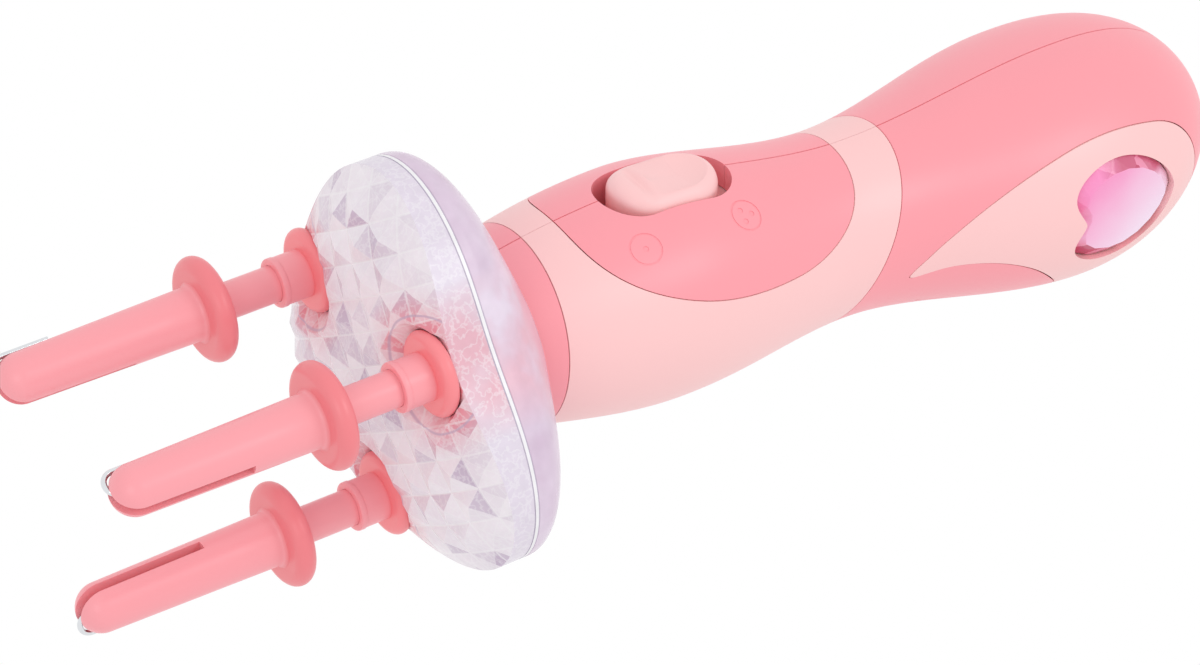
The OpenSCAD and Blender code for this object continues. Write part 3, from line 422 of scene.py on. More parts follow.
def blend(tree, factor, first, second):
    """Mixes two colours, each a constant or another node's output."""
    node = tree.nodes.new("ShaderNodeMix")
    node.data_type = "RGBA"
    for socket, colour in (("A", first), ("B", second)):
        if isinstance(colour, tuple):
            node.inputs[socket].default_value = colour
        else:
            tree.links.new(colour, node.inputs[socket])
    tree.links.new(factor, node.inputs["Factor"])
    return node.outputs["Result"]


def prong_distance(tree, coords):
    """Distance from the nearest prong's axis."""
    flat = vector_node(tree, "MULTIPLY", coords.outputs["Object"], (0, 1, 1))["Vector"]
    nearest = None
    for angle, _ in PRONGS.values():
        axis = polar(PRONG_CIRCLE_R * MM, angle + HEAD_TURN)
        far = vector_node(tree, "DISTANCE", flat, (0, *axis))["Value"]
        nearest = far if nearest is None else math_node(tree, "MINIMUM", nearest, far)
    return nearest


# The relief's white lines, painted highlights on its edges and ridges: reach inside a pyramid's edge and
# beside a ridge, as shares of its pitch
EDGE_LINE, RIDGE_LINE = 0.032, 0.022
RIDGE_STRENGTH = 0.6


def facet_pattern(tree, coords):
    """Chance of each pyramid's facet (0-1), and the painted highlight lines between the facets on edges and
    ridges (1 on a line).
    """
    c, s = polar(1, RELIEF_TURN + HEAD_TURN)
    places = [along(tree, coords, (0, y / (pitch * MM), z / (pitch * MM)))
              for (y, z), pitch in zip(((c, s), (-s, c)), RELIEF_PITCH)]
    cells = [math_node(tree, "ROUND", p) for p in places]
    inner = [math_node(tree, "SUBTRACT", place, cell) for place, cell in zip(places, cells)]
    size = [math_node(tree, "ABSOLUTE", p) for p in inner]
    wide = math_node(tree, "GREATER_THAN", size[0], size[1])
    signs = [math_node(tree, "SIGN", p) for p in inner]
    first = times(tree, wide, signs[0])
    second = times(tree, math_node(tree, "SUBTRACT", 1, wide), times(tree, signs[1], 2))
    key = tree.nodes.new("ShaderNodeCombineXYZ")
    for socket, value in zip(key.inputs, (cells[0], cells[1], math_node(tree, "ADD", first, second))):
        tree.links.new(value, socket)
    chance = tree.nodes.new("ShaderNodeTexWhiteNoise")
    tree.links.new(key.outputs["Vector"], chance.inputs["Vector"])
    edge = math_node(tree, "GREATER_THAN", math_node(tree, "MAXIMUM", *size), 0.5 - EDGE_LINE)
    from_ridge = math_node(tree, "ABSOLUTE", math_node(tree, "SUBTRACT", *size))
    ridge = times(tree, math_node(tree, "LESS_THAN", from_ridge, RIDGE_LINE), RIDGE_STRENGTH)
    return chance.outputs["Value"], math_node(tree, "MAXIMUM", edge, ridge)


def seam_colour(tree, coords, colour):
    """A white band along the seam with a thin dark line on each side of it."""
    off = distance_from(tree, along(tree, coords, (1, 0, 0)), SEAM_X * MM)
    lined = blend(tree, math_node(tree, "LESS_THAN", off, (SEAM_BAND + SEAM_LINE) * MM), colour, SEAM_GREY)
    return blend(tree, math_node(tree, "LESS_THAN", off, SEAM_BAND * MM), lined, CLEAR_WHITE)


def front_facing(tree, coords):
    """1 on faces that look along the prongs, 0 on the side walls."""
    split = tree.nodes.new("ShaderNodeSeparateXYZ")
    tree.links.new(coords.outputs["Normal"], split.inputs["Vector"])
    return ramp(tree, math_node(tree, "ABSOLUTE", split.outputs["X"]), 0.45, 0.7)


def painted_glints(tree, coords):
    """Fine bright streaks, painted glints as in cut or cast crystal."""
    warp = noise(tree, coords, GLINT_SCALE, 5)
    return ramp(tree, distance_from(tree, warp.outputs["Fac"], 0.5), 0.06, 0)


# Distances from a prong's axis where its painted pink reflection starts and is full; half widths of the
# cup's ring line
PINK_REFLECTION_START, PINK_REFLECTION_FULL = 18, 10
RING_OUTER, RING_INNER = 0.35, 0.1
RING_COLOUR, SEAM_GREY = srgb(200, 178, 204), srgb(206, 196, 214)
CLEAR_WHITE = srgb(254, 252, 255)


def facet_painted_shade(tree, clouds, chance, facing):
    """How much shade the relief takes: painted shade by chance on each facet, and softly in the clouds."""
    facets = times(tree, math_node(tree, "POWER", chance, 3.2), facing)
    return math_node(tree, "ADD", times(tree, facets, 0.75), times(tree, clouds, 0.2))


def facet_pink_reflection(tree, pink, near, chance, facing):
    """Painted pink reflection of a prong on the relief near it: weak all over, and full on facets taken by
    chance.
    """
    deep = times(tree, near, math_node(tree, "GREATER_THAN", chance, 0.72))
    weak = times(tree, math_node(tree, "ADD", pink, near), 0.3)
    return math_node(tree, "MAXIMUM", weak, times(tree, deep, facing))


def relief_lines(tree, coords, colour, lines, distance, facing):
    """Adds the painted glints, the painted highlight lines of the facets and a ring line round each cup."""
    # Painted glints and painted highlights on the relief's edges and ridges.
    colour = blend(tree, times(tree, painted_glints(tree, coords), 0.4), colour, CLEAR_WHITE)
    colour = blend(tree, times(tree, times(tree, lines, facing), 0.45), colour, CLEAR_WHITE)
    off = distance_from(tree, distance, CUP_LINE_R * MM)
    ring = times(tree, ramp(tree, off, RING_OUTER * MM, RING_INNER * MM), facing)
    return blend(tree, times(tree, ring, 0.7), colour, RING_COLOUR)


def clear_plastic(name, light, shade, pink_reflection_colour, side=None):
    """Milky clear plastic with clouds of shade and a painted reflection of the pink prongs; side, the
    walls' colour in painted shade, adds a relief of facets with painted shade and painted highlights.
    """
    material, tree, shader, coords = new_material(name)
    cloud = noise(tree, coords, CLOUD_SCALE, 3).outputs["Fac"]
    fine = noise(tree, coords, FINE_SCALE).outputs["Fac"]
    amount = ramp(tree, cloud, 0.36, 0.7)
    distance = prong_distance(tree, coords)
    # near and pink: a painted reflection of the pink prongs in the clear plastic.
    near = ramp(tree, distance, PINK_REFLECTION_START * MM, PINK_REFLECTION_FULL * MM)
    pink = times(tree, near, ramp(tree, cloud, 0.4, 0.56))
    if side:
        chance, lines = facet_pattern(tree, coords)
        facing = front_facing(tree, coords)
        # The facets take painted shade by chance.
        amount = facet_painted_shade(tree, amount, chance, facing)
        pink = facet_pink_reflection(tree, pink, near, chance, facing)
    tint = math_node(tree, "ADD", times(tree, amount, 0.85), times(tree, fine, 0.1))
    colour = blend(tree, tint, light, shade)
    # The side walls take side: a painted shade, darker than the lit front relief.
    if side:
        colour = blend(tree, facing, side, colour)
    # Painted pink reflection of the prongs.
    colour = blend(tree, pink, colour, pink_reflection_colour)
    if side:
        colour = relief_lines(tree, coords, colour, lines, distance, facing)
    tree.links.new(seam_colour(tree, coords, colour), shader.inputs["Base Color"])
    shader.inputs["IOR"].default_value = 1.4
    shader.inputs["Roughness"].default_value = 0.24
    tree.links.new(spread(tree, fine, 0.16, 0.04), shader.inputs["Transmission Weight"])
    return material


# Direction in which the gem fades from pink to a painted white reflection, and half the length of the fade
FADE_X, FADE_Z, FADE_HALF = 0.62, -0.78, 12


def gem_face(tree, coords):
    """Deep pink at one corner of the heart and a painted near-white reflection at the other, with a slight
    haze.
    """
    slope = along(tree, coords, (FADE_X, 0, FADE_Z))
    middle = FADE_X * (GEM_TIP[0] - GEM_TO_TIP) + FADE_Z * GEM_TIP[1]
    # fade runs from the stone's pink into the painted reflection.
    fade = ramp(tree, slope, (middle - FADE_HALF) * MM, (middle + FADE_HALF) * MM)
    haze = noise(tree, coords, HAZE_SCALE)
    return blend(tree, math_node(tree, "ADD", fade, spread(tree, haze.outputs["Fac"], -0.12, 0.12)),
                 srgb(255, 152, 204), srgb(250, 240, 255))


def gem_painted_reflections(tree, coords):
    """Small cells between two pinks: painted reflections of the stone's inner facets."""
    cells = tree.nodes.new("ShaderNodeTexVoronoi")
    cells.inputs["Scale"].default_value = SPARK_SCALE
    tree.links.new(coords.outputs["Object"], cells.inputs["Vector"])
    spark = tree.nodes.new("ShaderNodeSeparateColor")
    tree.links.new(cells.outputs["Color"], spark.inputs["Color"])
    return blend(tree, ramp(tree, spark.outputs["Red"], 0.2, 0.8), srgb(204, 84, 118), srgb(244, 150, 182))


def painted_shade_side(tree, coords):
    """1 where the bevel takes painted shade: away from the gem's middle line, along its lower side, and
    towards the tip on its upper side.
    """
    up = along(tree, coords, (0, 0, 1))
    lower = math_node(tree, "LESS_THAN", up, GEM_TIP[1] * MM)
    back = ramp(tree, along(tree, coords, (1, 0, 0)), (GEM_TIP[0] - 21) * MM, (GEM_TIP[0] - 15) * MM)
    off = ramp(tree, distance_from(tree, up, GEM_TIP[1] * MM), 4.5 * MM, 6.5 * MM)
    return times(tree, off, math_node(tree, "MAXIMUM", lower, back))


def cut_stone(name):
    """Cut stone: a face that fades from pink to a painted white reflection, and a bevel with painted shade
    on one side.
    """
    material, tree, shader, coords = new_material(name)
    face = gem_face(tree, coords)
    height = math_node(tree, "ABSOLUTE", along(tree, coords, (0, 1, 0)))
    bevel = math_node(tree, "LESS_THAN", height, (GEM_TABLE_Y - 0.06) * MM)
    # The bevel's painted shade, with painted reflections, on one side only.
    edge = blend(tree, painted_shade_side(tree, coords), face, gem_painted_reflections(tree, coords))
    tree.links.new(blend(tree, bevel, face, edge), shader.inputs["Base Color"])
    shader.inputs["IOR"].default_value = 1.5
    shader.inputs["Roughness"].default_value = 0.12
    shader.inputs["Transmission Weight"].default_value = 0.05
    return material


def prong_plastic_with_painted_shade(name, light, deep, flange):
    """Prong plastic: light on the round shafts, with painted shade, deep, on a flange between two places
    along X.
    """
    material, tree, shader, coords = new_material(name)
    place = along(tree, coords, (1, 0, 0))
    inside = times(tree, ramp(tree, place, (flange[0] - 0.6) * MM, flange[0] * MM),
                   ramp(tree, place, (flange[1] + 0.6) * MM, flange[1] * MM))
    tone = noise(tree, coords, SHAFT_TONE_SCALE)
    # deep is painted shade on the flange, whose faces are turned away from the light.
    colour = blend(tree, inside, light, deep)
    tree.links.new(blend(tree, spread(tree, tone.outputs["Fac"], 0, 0.06), colour, srgb(255, 190, 192)),
                   shader.inputs["Base Color"])
    moulded_skin(tree, shader, coords, 0.3, 0.38)
    return material


HOT_PINK = plastic("hot pink plastic", srgb(252, 158, 168))
SHAFT = srgb(252, 162, 170)
# The second pink of each prong plastic is painted shade for its flange.
CORAL_PINK = prong_plastic_with_painted_shade("coral pink plastic", SHAFT, srgb(250, 137, 143),
                           (-BASE_FLANGE_T * 0.4, BASE_FLANGE_T * 0.6))
BARREL_PINK = prong_plastic_with_painted_shade("coral barrel plastic", SHAFT, srgb(242, 128, 135),
                            (SLIDE_FLANGE_X, SLIDE_FLANGE_X + SLIDE_FLANGE_T))
PALE_PINK = plastic("pale pink plastic", srgb(253, 202, 202), 0.4)
# Clear colours: light, shade, the painted pink reflection of the prongs, and the relief's side walls in
# painted shade.
CLEAR_RELIEF = clear_plastic("clear lilac relief", srgb(255, 249, 255), srgb(192, 168, 198),
                             srgb(242, 156, 170), srgb(236, 226, 240))
CLEAR_COVER = clear_plastic("clear lilac plastic", srgb(244, 230, 246), srgb(216, 190, 214),
                            srgb(240, 196, 212))
GEM_PINK = cut_stone("pink cut stone")
NATURAL = plastic("natural nylon", srgb(238, 234, 226), 0.45)
STEEL = metal("bright steel", srgb(205, 207, 210), 0.28, 0.004)
CHROME = metal("chrome wire", srgb(225, 227, 230), 0.08)
BRASS = metal("brass", srgb(206, 172, 96), 0.3, 0.004)
DARK = plastic("dark plastic", srgb(50, 48, 52), 0.45)
JACKET = plastic("cell jacket", srgb(206, 210, 220), 0.3)
WHITE = plastic("white plastic", srgb(238, 238, 238), 0.45)

SLOT_LOOKS = {
    "hot_pink": HOT_PINK, "coral_pink": CORAL_PINK, "pale_pink": PALE_PINK, "clear_lilac": CLEAR_COVER,
    "pink_gem": GEM_PINK, "natural_nylon": NATURAL, "bright_steel": STEEL, "chrome_wire": CHROME,
    "brass": BRASS, "dark_plastic": DARK, "cell_jacket": JACKET, "white_plastic": WHITE,
}


def dress_cad_nodes():
    """Gives every CAD node the look of its material slot."""
    slots = {part["node"]: part["material_slot"] for part in frame["record"]["subparts"]}
    for name, obj in frame["nodes"].items():
        for child in [obj, *obj.children]:
            if child.type == "MESH":
                child.data.materials.clear()
                child.data.materials.append(SLOT_LOOKS[slots[name]])


# ---------------------------------------------------------------- handle

def handle_size(x):
    """Half width and half height of the handle at a place along X."""
    if x < GRIP_X:
        t = math.sin(math.pi / 2 * clamp01((x - HANDLE_X) / (GRIP_X - HANDLE_X)))
        pair = (COLLAR, GRIP)
    elif x < WAIST_X:
        t, pair = ease((x - GRIP_X) / (WAIST_X - GRIP_X)), (GRIP, WAIST)
    elif x < BULB_X:
        t, pair = ease((x - WAIST_X) / (BULB_X - WAIST_X)), (WAIST, BULB)
    else:
        k = math.sqrt(max(0, 1 - ((x - BULB_X) / (BUTT_X - BULB_X)) ** BUTT_POWER))
        return BULB[0] * k, BULB[1] * k
    return mix(pair[0][0], pair[1][0], t), mix(pair[0][1], pair[1][1], t)


def handle_z(x):
    """Height of the handle's middle line at a place along X."""
    if x < GRIP_X:
        return -GRIP_DROP * ease(clamp01((x - HANDLE_X) / (GRIP_X - HANDLE_X)))
    if x < BULB_X:
        return -mix(GRIP_DROP, BULB_DROP, ease(((x - GRIP_X) / (BULB_X - GRIP_X)) ** BEND_LEAD))
    return -mix(BULB_DROP, BUTT_DROP, ease(clamp01((x - BULB_X) / (BUTT_X - BULB_X))))


SKIN_POINTS = 128
SKIN_RINGS = 110
BUTT_RINGS = 30


def handle_skin(name, inset, x0=HANDLE_X):
    """The closed outer skin of the handle, inset by one amount."""
    def ring(x, width, height, z0):
        return [(x, width * y, z0 + height * z) for y, z in circle(1, steps=SKIN_POINTS)]
    rings = []
    for k in range(SKIN_RINGS + 1):
        x = mix(x0, BULB_X, k / SKIN_RINGS)
        size = handle_size(x)
        rings.append(ring(x, size[0] - inset, size[1] - inset, handle_z(x)))
    keep = max(0.02, 1 - inset / BULB[1])
    shrink = (BUTT_X - inset - BULB_X) / (BUTT_X - BULB_X)
    for k in range(1, BUTT_RINGS + 1):
        x = mix(BULB_X, BUTT_X, math.sin(math.radians(BUTT_END * k / BUTT_RINGS)))
        size = handle_size(x)
        rings.append(ring(mix(BULB_X, x, shrink), size[0] * keep, size[1] * keep, handle_z(x)))
    return loft(name, rings)


def smooth_outline(points, steps=6):
    """A closed Catmull-Rom curve through the points."""
    n = len(points)
    out = []
    for i in range(n):
        p0, p1, p2, p3 = (points[(i + k) % n] for k in (-1, 0, 1, 2))
        for s in range(steps):
            t = s / steps
            out.append(tuple(0.5 * (2 * b + (c - a) * t + (2 * a - 5 * b + 4 * c - d) * t * t
                                    + (3 * b - a - 3 * c + d) * t ** 3)
                             for a, b, c, d in zip(p0, p1, p2, p3)))
    return out


def window_outline(grow):
    """The window in side view: open at the top, leaning in front and round at the waist."""
    points = [(WINDOW_BACK + grow, REACH), (WINDOW_FRONT - grow, REACH)]
    for degrees in range(0, 181, 3):
        front = degrees < 90
        power = WINDOW_LEAN if front else 1
        half = WINDOW_LOWEST - WINDOW_FRONT if front else WINDOW_BACK - WINDOW_LOWEST
        high, low = WINDOW_FRONT_Z if front else WINDOW_BACK_Z, WINDOW_LOW - grow
        across, deep = polar(1, degrees)
        points.append((WINDOW_LOWEST - math.copysign((half + grow) * abs(across) ** power, across),
                       high - (high - low) * deep ** power))
    return points


def grip_outline(grow):
    """The grip panels in side view: a slight lean in front and a slant at the waist."""
    front, back = PANEL_FRONT - grow, PANEL_BACK + grow
    return [(front - REACH * PANEL_LEAN, -REACH), (back - REACH * WAIST_SLANT, -REACH),
            (back + REACH * WAIST_SLANT, REACH), (front + REACH * PANEL_LEAN, REACH)]


# The gem panel in side view: x from BULB_X, and z
TEARDROP = [(-48, -10.2), (-43, -5.1), (-37, -1.2), (-30, 2.4), (-22, 5.6), (-14, 8), (-6, 9.6), (2, 10),
            (10, 9.2), (17, 7.2), (22, 3.6), (25.2, -1.6), (26.4, -8), (25.2, -15), (21, -22), (14, -29),
            (6, -36), (-4, -36), (-8, -28), (-13, -21.4), (-19.5, -15.6), (-28, -11.6), (-38, -9.8)]
TEARDROP_MIDDLE = (-3, -9)


def teardrop_outline(grow):
    out = []
    for x, z in smooth_outline(TEARDROP):
        dx, dz = x - TEARDROP_MIDDLE[0], z - TEARDROP_MIDDLE[1]
        k = grow / math.hypot(dx, dz)
        out.append((BULB_X + x + dx * k, z + dz * k))
    return out


def heart_outline(scale, grow, steps=96):
    """The gem's outline: notch towards the prongs, rounded tip towards the butt."""
    out = []
    for k in range(steps):
        degrees = 360 * k / steps
        side = math.sin(math.radians(degrees))
        turn = min(degrees, 360 - degrees) / NOTCH_DEGREES
        v = math.cos(math.radians(degrees)) - NOTCH * math.exp(-turn * turn)
        p = (GEM_TO_TIP - (1 + v) / HEART_SPAN * GEM_L,
             math.copysign(abs(side) ** HEART_POWER, side) * GEM_W / 2)
        k_grow = scale * (1 + grow / math.hypot(*p))
        out.append((GEM_TIP[0] - GEM_TO_TIP + p[0] * k_grow, GEM_TIP[1] + p[1] * k_grow))
    return out


def stadium(length, width, grow, steps=48):
    """Outline in the XY plane of an oval with half-round ends, centred on the switch."""
    r = width / 2 + grow
    out = []
    for i in range(steps):
        a = 2 * math.pi * (i + 0.5) / steps
        side = 1 if math.cos(a) > 0 else -1
        out.append((SWITCH_X + side * (length - width) / 2 + r * math.cos(a), r * math.sin(a)))
    return out


def door_block(grow, name="door"):
    """A block with the door's outline, from below the handle up to the door's top."""
    return block(name, (DOOR_X - grow, -DOOR_HALF_W - grow, -REACH),
                 (DOOR_X + DOOR_L + grow, DOOR_HALF_W + grow, DOOR_TOP_Z))


def y_range(side, start):
    """The stretch of Y from start outward on one side."""
    return (start, REACH) if side > 0 else (-REACH, -start)


def half_space(side):
    """All space on one side of the case's seam."""
    low, high = y_range(side, SEAM_HALF)
    return block("half", (-10, low, -REACH), (BUTT_X + 20, high, REACH))


def skin_layer(out, deep):
    """The layer of the handle between two offsets from its outer skin."""
    layer = handle_skin("layer", -out)
    return cut(layer, handle_skin("inner", deep, HANDLE_X - 1))


def skin_mark(side, place, angle, dots):
    """A shallow round mark to cut into the skin: a ring with one dot (twist) or three dots (braid)."""
    width, height = handle_size(place)
    a = math.radians(angle)
    centre = Vector((place, side * width * abs(math.cos(a)), handle_z(place) + height * math.sin(a)))
    out = Vector((0, side * abs(math.cos(a)) / width, math.sin(a) / height)).normalized()
    across = out.cross(Vector((1, 0, 0)))

    def stamp(outline):
        return loft("stamp", [[tuple(centre + Vector((u, 0, 0)) + across * v + out * h) for u, v in outline]
                              for h in (-2, 1)])

    ring = cut(stamp(circle(MARK_R)), stamp(circle(MARK_R - MARK_LINE)))
    for k in range(dots):
        turn = 2 * math.pi * k / dots
        off = DOT_RING_R if dots > 1 else 0
        join(ring, stamp(circle(DOT_R, (off * math.cos(turn), off * math.sin(turn)), 32)))
    return common(ring, skin_layer(1, MARK_DEPTH))


def case_half(side):
    """One half of the case, with recesses for its panels, the switch's slot and the seam's groove."""
    name = "right_case_shell" if side > 0 else "left_case_shell"
    shell = handle_skin(name, 0)
    cut(shell, handle_skin("hollow", SHELL_INSET, FRONT_WALL_END))
    recess = prism("grip", grip_outline(PANEL_GAP), -REACH, REACH)
    cut(recess, prism("window", window_outline(-PANEL_GAP), -REACH - 1, REACH + 1))
    cut(shell, common(recess, skin_layer(2, PANEL_T + PANEL_GAP)))
    drop = prism("drop", teardrop_outline(PANEL_GAP), -REACH, REACH)
    cut(shell, common(drop, skin_layer(2, PANEL_T + PANEL_GAP)))
    low, high = y_range(side, GEM_FLOOR_Y - CUP_WALL - PANEL_GAP)
    cut(shell, prism("cup", heart_outline(1, CUP_WALL + PANEL_GAP), low, high))
    slot = (BUTTON_L + 2 * (BUTTON_TRAVEL + FREE_GAP), BUTTON_W + 2 * FREE_GAP)
    rim = prism("rim", stadium(*slot, SLOT_RIM), skirt_base_z() + SKIRT_T + SKIRT_GAP, REACH, "z")
    join(shell, common(rim, handle_skin("under", SHELL_INSET - 0.5)))
    cut(shell, prism("slot", stadium(*slot, 0), 0, REACH, "z"))
    cut(shell, door_block(PANEL_GAP))
    cut(shell, prism("bore", circle(BUSH_R), HANDLE_X - 2, FRONT_WALL_END + 1, "x"))
    groove = block("groove", (0, -GROOVE_HALF, -REACH), (BUTT_X + 20, GROOVE_HALF, REACH))
    cut(shell, common(groove, skin_layer(2, GROOVE_DEPTH)))
    for place, angle, dots in MARKS if side < 0 else ():
        cut(shell, skin_mark(side, place, angle, dots))
    common(shell, half_space(side))
    return shell


def grip_panel(side):
    """One pale grip panel, with its part of the window."""
    name = "right_grip_skin" if side > 0 else "left_grip_skin"
    panel = prism(name, grip_outline(0), -REACH, REACH)
    cut(panel, prism("window", window_outline(0), -REACH - 1, REACH + 1))
    common(panel, skin_layer(0, PANEL_T))
    common(panel, half_space(side))
    return panel


def gem_panel(side):
    """One teardrop panel, with the cup that holds its gem."""
    name = "right_gem_surround" if side > 0 else "left_gem_surround"
    panel = prism(name, teardrop_outline(0), -REACH, REACH)
    common(panel, skin_layer(0, PANEL_T))
    low, high = y_range(side, GEM_FLOOR_Y - CUP_WALL)
    cup = prism("cup", heart_outline(1, CUP_WALL), low, high)
    join(panel, common(cup, handle_skin("skin", PANEL_T / 2)))
    low, high = y_range(side, GEM_FLOOR_Y)
    cut(panel, prism("hole", heart_outline(1, 0.05), low, high))
    cut(panel, door_block(PANEL_GAP))
    cut(panel, block("keel", (0, -KEEL_HALF, -REACH), (BUTT_X + 1, KEEL_HALF, UNDER_Z)))
    common(panel, half_space(side))
    return panel


def battery_door():
    """The battery door, with its screw's hole and the grooves of a finger grip."""
    door = door_block(0, "battery_hatch")
    common(door, skin_layer(0, SHELL_INSET))
    cut(door, prism("hole", circle(DOOR_HOLE_R, (DOOR_SCREW_X, 0)), -REACH, HOLE_TOP_Z, "z"))
    for k in range(RIBS):
        x = DOOR_X + RIB_X + RIB_PITCH * k
        rib = block("rib", (x, -RIB_HALF_L, -REACH), (x + RIB_W, RIB_HALF_L, UNDER_Z))
        cut(door, common(rib, skin_layer(1, RIB_DEPTH)))
    return door


GEM_FACETS = 20


def heart_gem(side):
    """A cut stone: girdle, a bevel of facets and a flat table."""
    rows = [(GEM_FLOOR_Y + 0.05, 0.92, 0), (GEM_FLOOR_Y + 0.5, 1, 0), (GEM_FLOOR_Y + GEM_GIRDLE, 1, 0),
            (GEM_TABLE_Y, 0.8, 0.5)]
    points, faces = [], []
    fine = 8
    for y, scale, turn in rows:
        outline = heart_outline(scale, -0.1, GEM_FACETS * fine)
        corners = (outline[int(fine * (k + turn)) % len(outline)] for k in range(GEM_FACETS))
        points += [(x, side * y, z) for x, z in corners]

    def at(row, k):
        return row * GEM_FACETS + k % GEM_FACETS

    for k in range(GEM_FACETS):
        faces += [(at(row, k), at(row, k + 1), at(row + 1, k + 1), at(row + 1, k)) for row in (0, 1)]
        faces += [(at(2, k), at(2, k + 1), at(3, k)), (at(3, k), at(2, k + 1), at(3, k + 1))]
    faces.append(tuple(at(0, k) for k in reversed(range(GEM_FACETS))))
    faces.append(tuple(at(3, k) for k in range(GEM_FACETS)))
    return outward(mesh_object("right_heart" if side > 0 else "left_heart", points, faces))


def build_handle():
    for side, word in ((-1, "left"), (1, "right")):
        piece(smooth(case_half(side)), "handle", "hot_pink", HOT_PINK, word + "_case")
        piece(smooth(grip_panel(side)), "handle", "pale_pink", PALE_PINK, word + "_grip_panel")
        piece(smooth(gem_panel(side)), "handle", "pale_pink", PALE_PINK, word + "_gem_panel")
        piece(heart_gem(side), "handle", "pink_gem", GEM_PINK, word + "_gem")
    piece(smooth(battery_door()), "door", "hot_pink", HOT_PINK, "battery_door")


# ---------------------------------------------------------------- switch

def crown_z(x, y):
    """Height of the button's top: a crown along the handle, with a finger groove and a thumb hollow."""
    top = handle_z(SWITCH_X) + handle_size(SWITCH_X)[1] + BUTTON_RISE
    r = handle_size(SWITCH_X)[0]
    u = x - SWITCH_X
    groove = FINGER_DEPTH * math.exp(-((u + BUTTON_L / 4) / FINGER_HALF_L) ** 2)
    groove *= max(0, 1 - (y / FINGER_HALF_W) ** 2)
    middle = BUTTON_L / 12
    reach = BUTTON_L / 4 if u < middle else BUTTON_L / 3
    bowl = max(0, 1 - ((u - middle) / reach) ** 2 - (y / HOLLOW_HALF_W) ** 2)
    hollow = HOLLOW_DEPTH * bowl ** HOLLOW_POWER
    return top - r + math.sqrt(r * r - y * y) - u * math.tan(math.radians(CROWN_TILT)) - groove - hollow


def roof_z(x, y):
    """Height of the case's inner face over a place on the handle."""
    width, height = (half - SHELL_INSET for half in handle_size(x))
    return handle_z(x) + height * math.sqrt(1 - (y / width) ** 2)


def skirt_base_z():
    return roof_z(SWITCH_X + SKIRT_L / 2 + BUTTON_TRAVEL, SKIRT_W / 2) - SKIRT_T - 0.3


def switch_button():
    """The slide button: an oval cap with rounded edges, on a thin skirt with a peg."""
    skirt_z = skirt_base_z()
    rows, round_r = 36, 3
    rings = [[(x, y, skirt_z + 0.6) for x, y in stadium(BUTTON_L, BUTTON_W, -0.05, 120)]]
    for k in range(rows + 1):
        inset = BUTTON_W / 2 * min((k / rows) ** 1.6, 0.995)
        edge = max(0, 1 - inset / round_r)
        fall = round_r * (1 - math.sqrt(1 - edge * edge))
        outline = stadium(BUTTON_L, BUTTON_W, -0.05 - inset, 120)
        rings.append([(x, y, crown_z(x, y) - fall) for x, y in outline])
    cap = loft("slide_button", rings)
    join(cap, block("skirt", (SWITCH_X - SKIRT_L / 2, -SKIRT_W / 2, skirt_z),
                    (SWITCH_X + SKIRT_L / 2, SKIRT_W / 2, skirt_z + SKIRT_T)))
    join(cap, block("peg", (SWITCH_X - PEG_W / 2, -PEG_W / 2, skirt_z - PEG_L),
                    (SWITCH_X + PEG_W / 2, PEG_W / 2, skirt_z + 0.1)))
    return cap


def build_switch():
    piece(smooth(switch_button(), 35), "switch", "pale_pink", PALE_PINK, "switch_button")


# ---------------------------------------------------------------- head

def outline_r(degrees):
    """Radius of the head's three-lobed outline, with a flat beside each prong."""
    wave = math.cos(math.radians(3 * (degrees - 30)))
    return (CORNER_R + FLAT_R) / 2 - (CORNER_R - FLAT_R) / 2 * wave


HEAD_STEPS = 180


def head_ring(x, inset, share=0.0):
    """A ring of the head's outline; share blends it into the round back edge of the cover."""
    turns = (360 * i / HEAD_STEPS for i in range(HEAD_STEPS))
    return [(x, *polar(mix(outline_r(a), COVER_BACK_R, share) - inset, a)) for a in turns]


def tube(r, x0, x1, centre=(0, 0)):
    """A solid rod along X."""
    return prism("tube", circle(r, centre), x0, x1, "x")


def prong_places():
    """Centres (y, z) of the prongs before the head is turned."""
    return [polar(PRONG_CIRCLE_R, angle) for angle, _ in PRONGS.values()]


def dome_x(y, z):
    """Front surface of the dome before the relief."""
    r = math.hypot(y, z)
    edge = (CORNER_R + outline_r(math.degrees(math.atan2(z, y)))) / 2
    return NOSE_X + DOME_RISE * min(r / edge, 1.15) ** 4


# Steps of the relief's net in each pyramid
FINE = 4


def relief_x(place_a, place_b, y, z, peak):
    """Front surface with the pyramids, which flatten out towards the dome's edge."""
    inner = [abs(place - round(place)) for place in (place_a, place_b)]
    r = math.hypot(y, z)
    fade = clamp01((outline_r(math.degrees(math.atan2(z, y))) - 1.5 - r) / RELIEF_FADE)
    return dome_x(y, z) - peak * fade * (1 - 2 * max(inner))


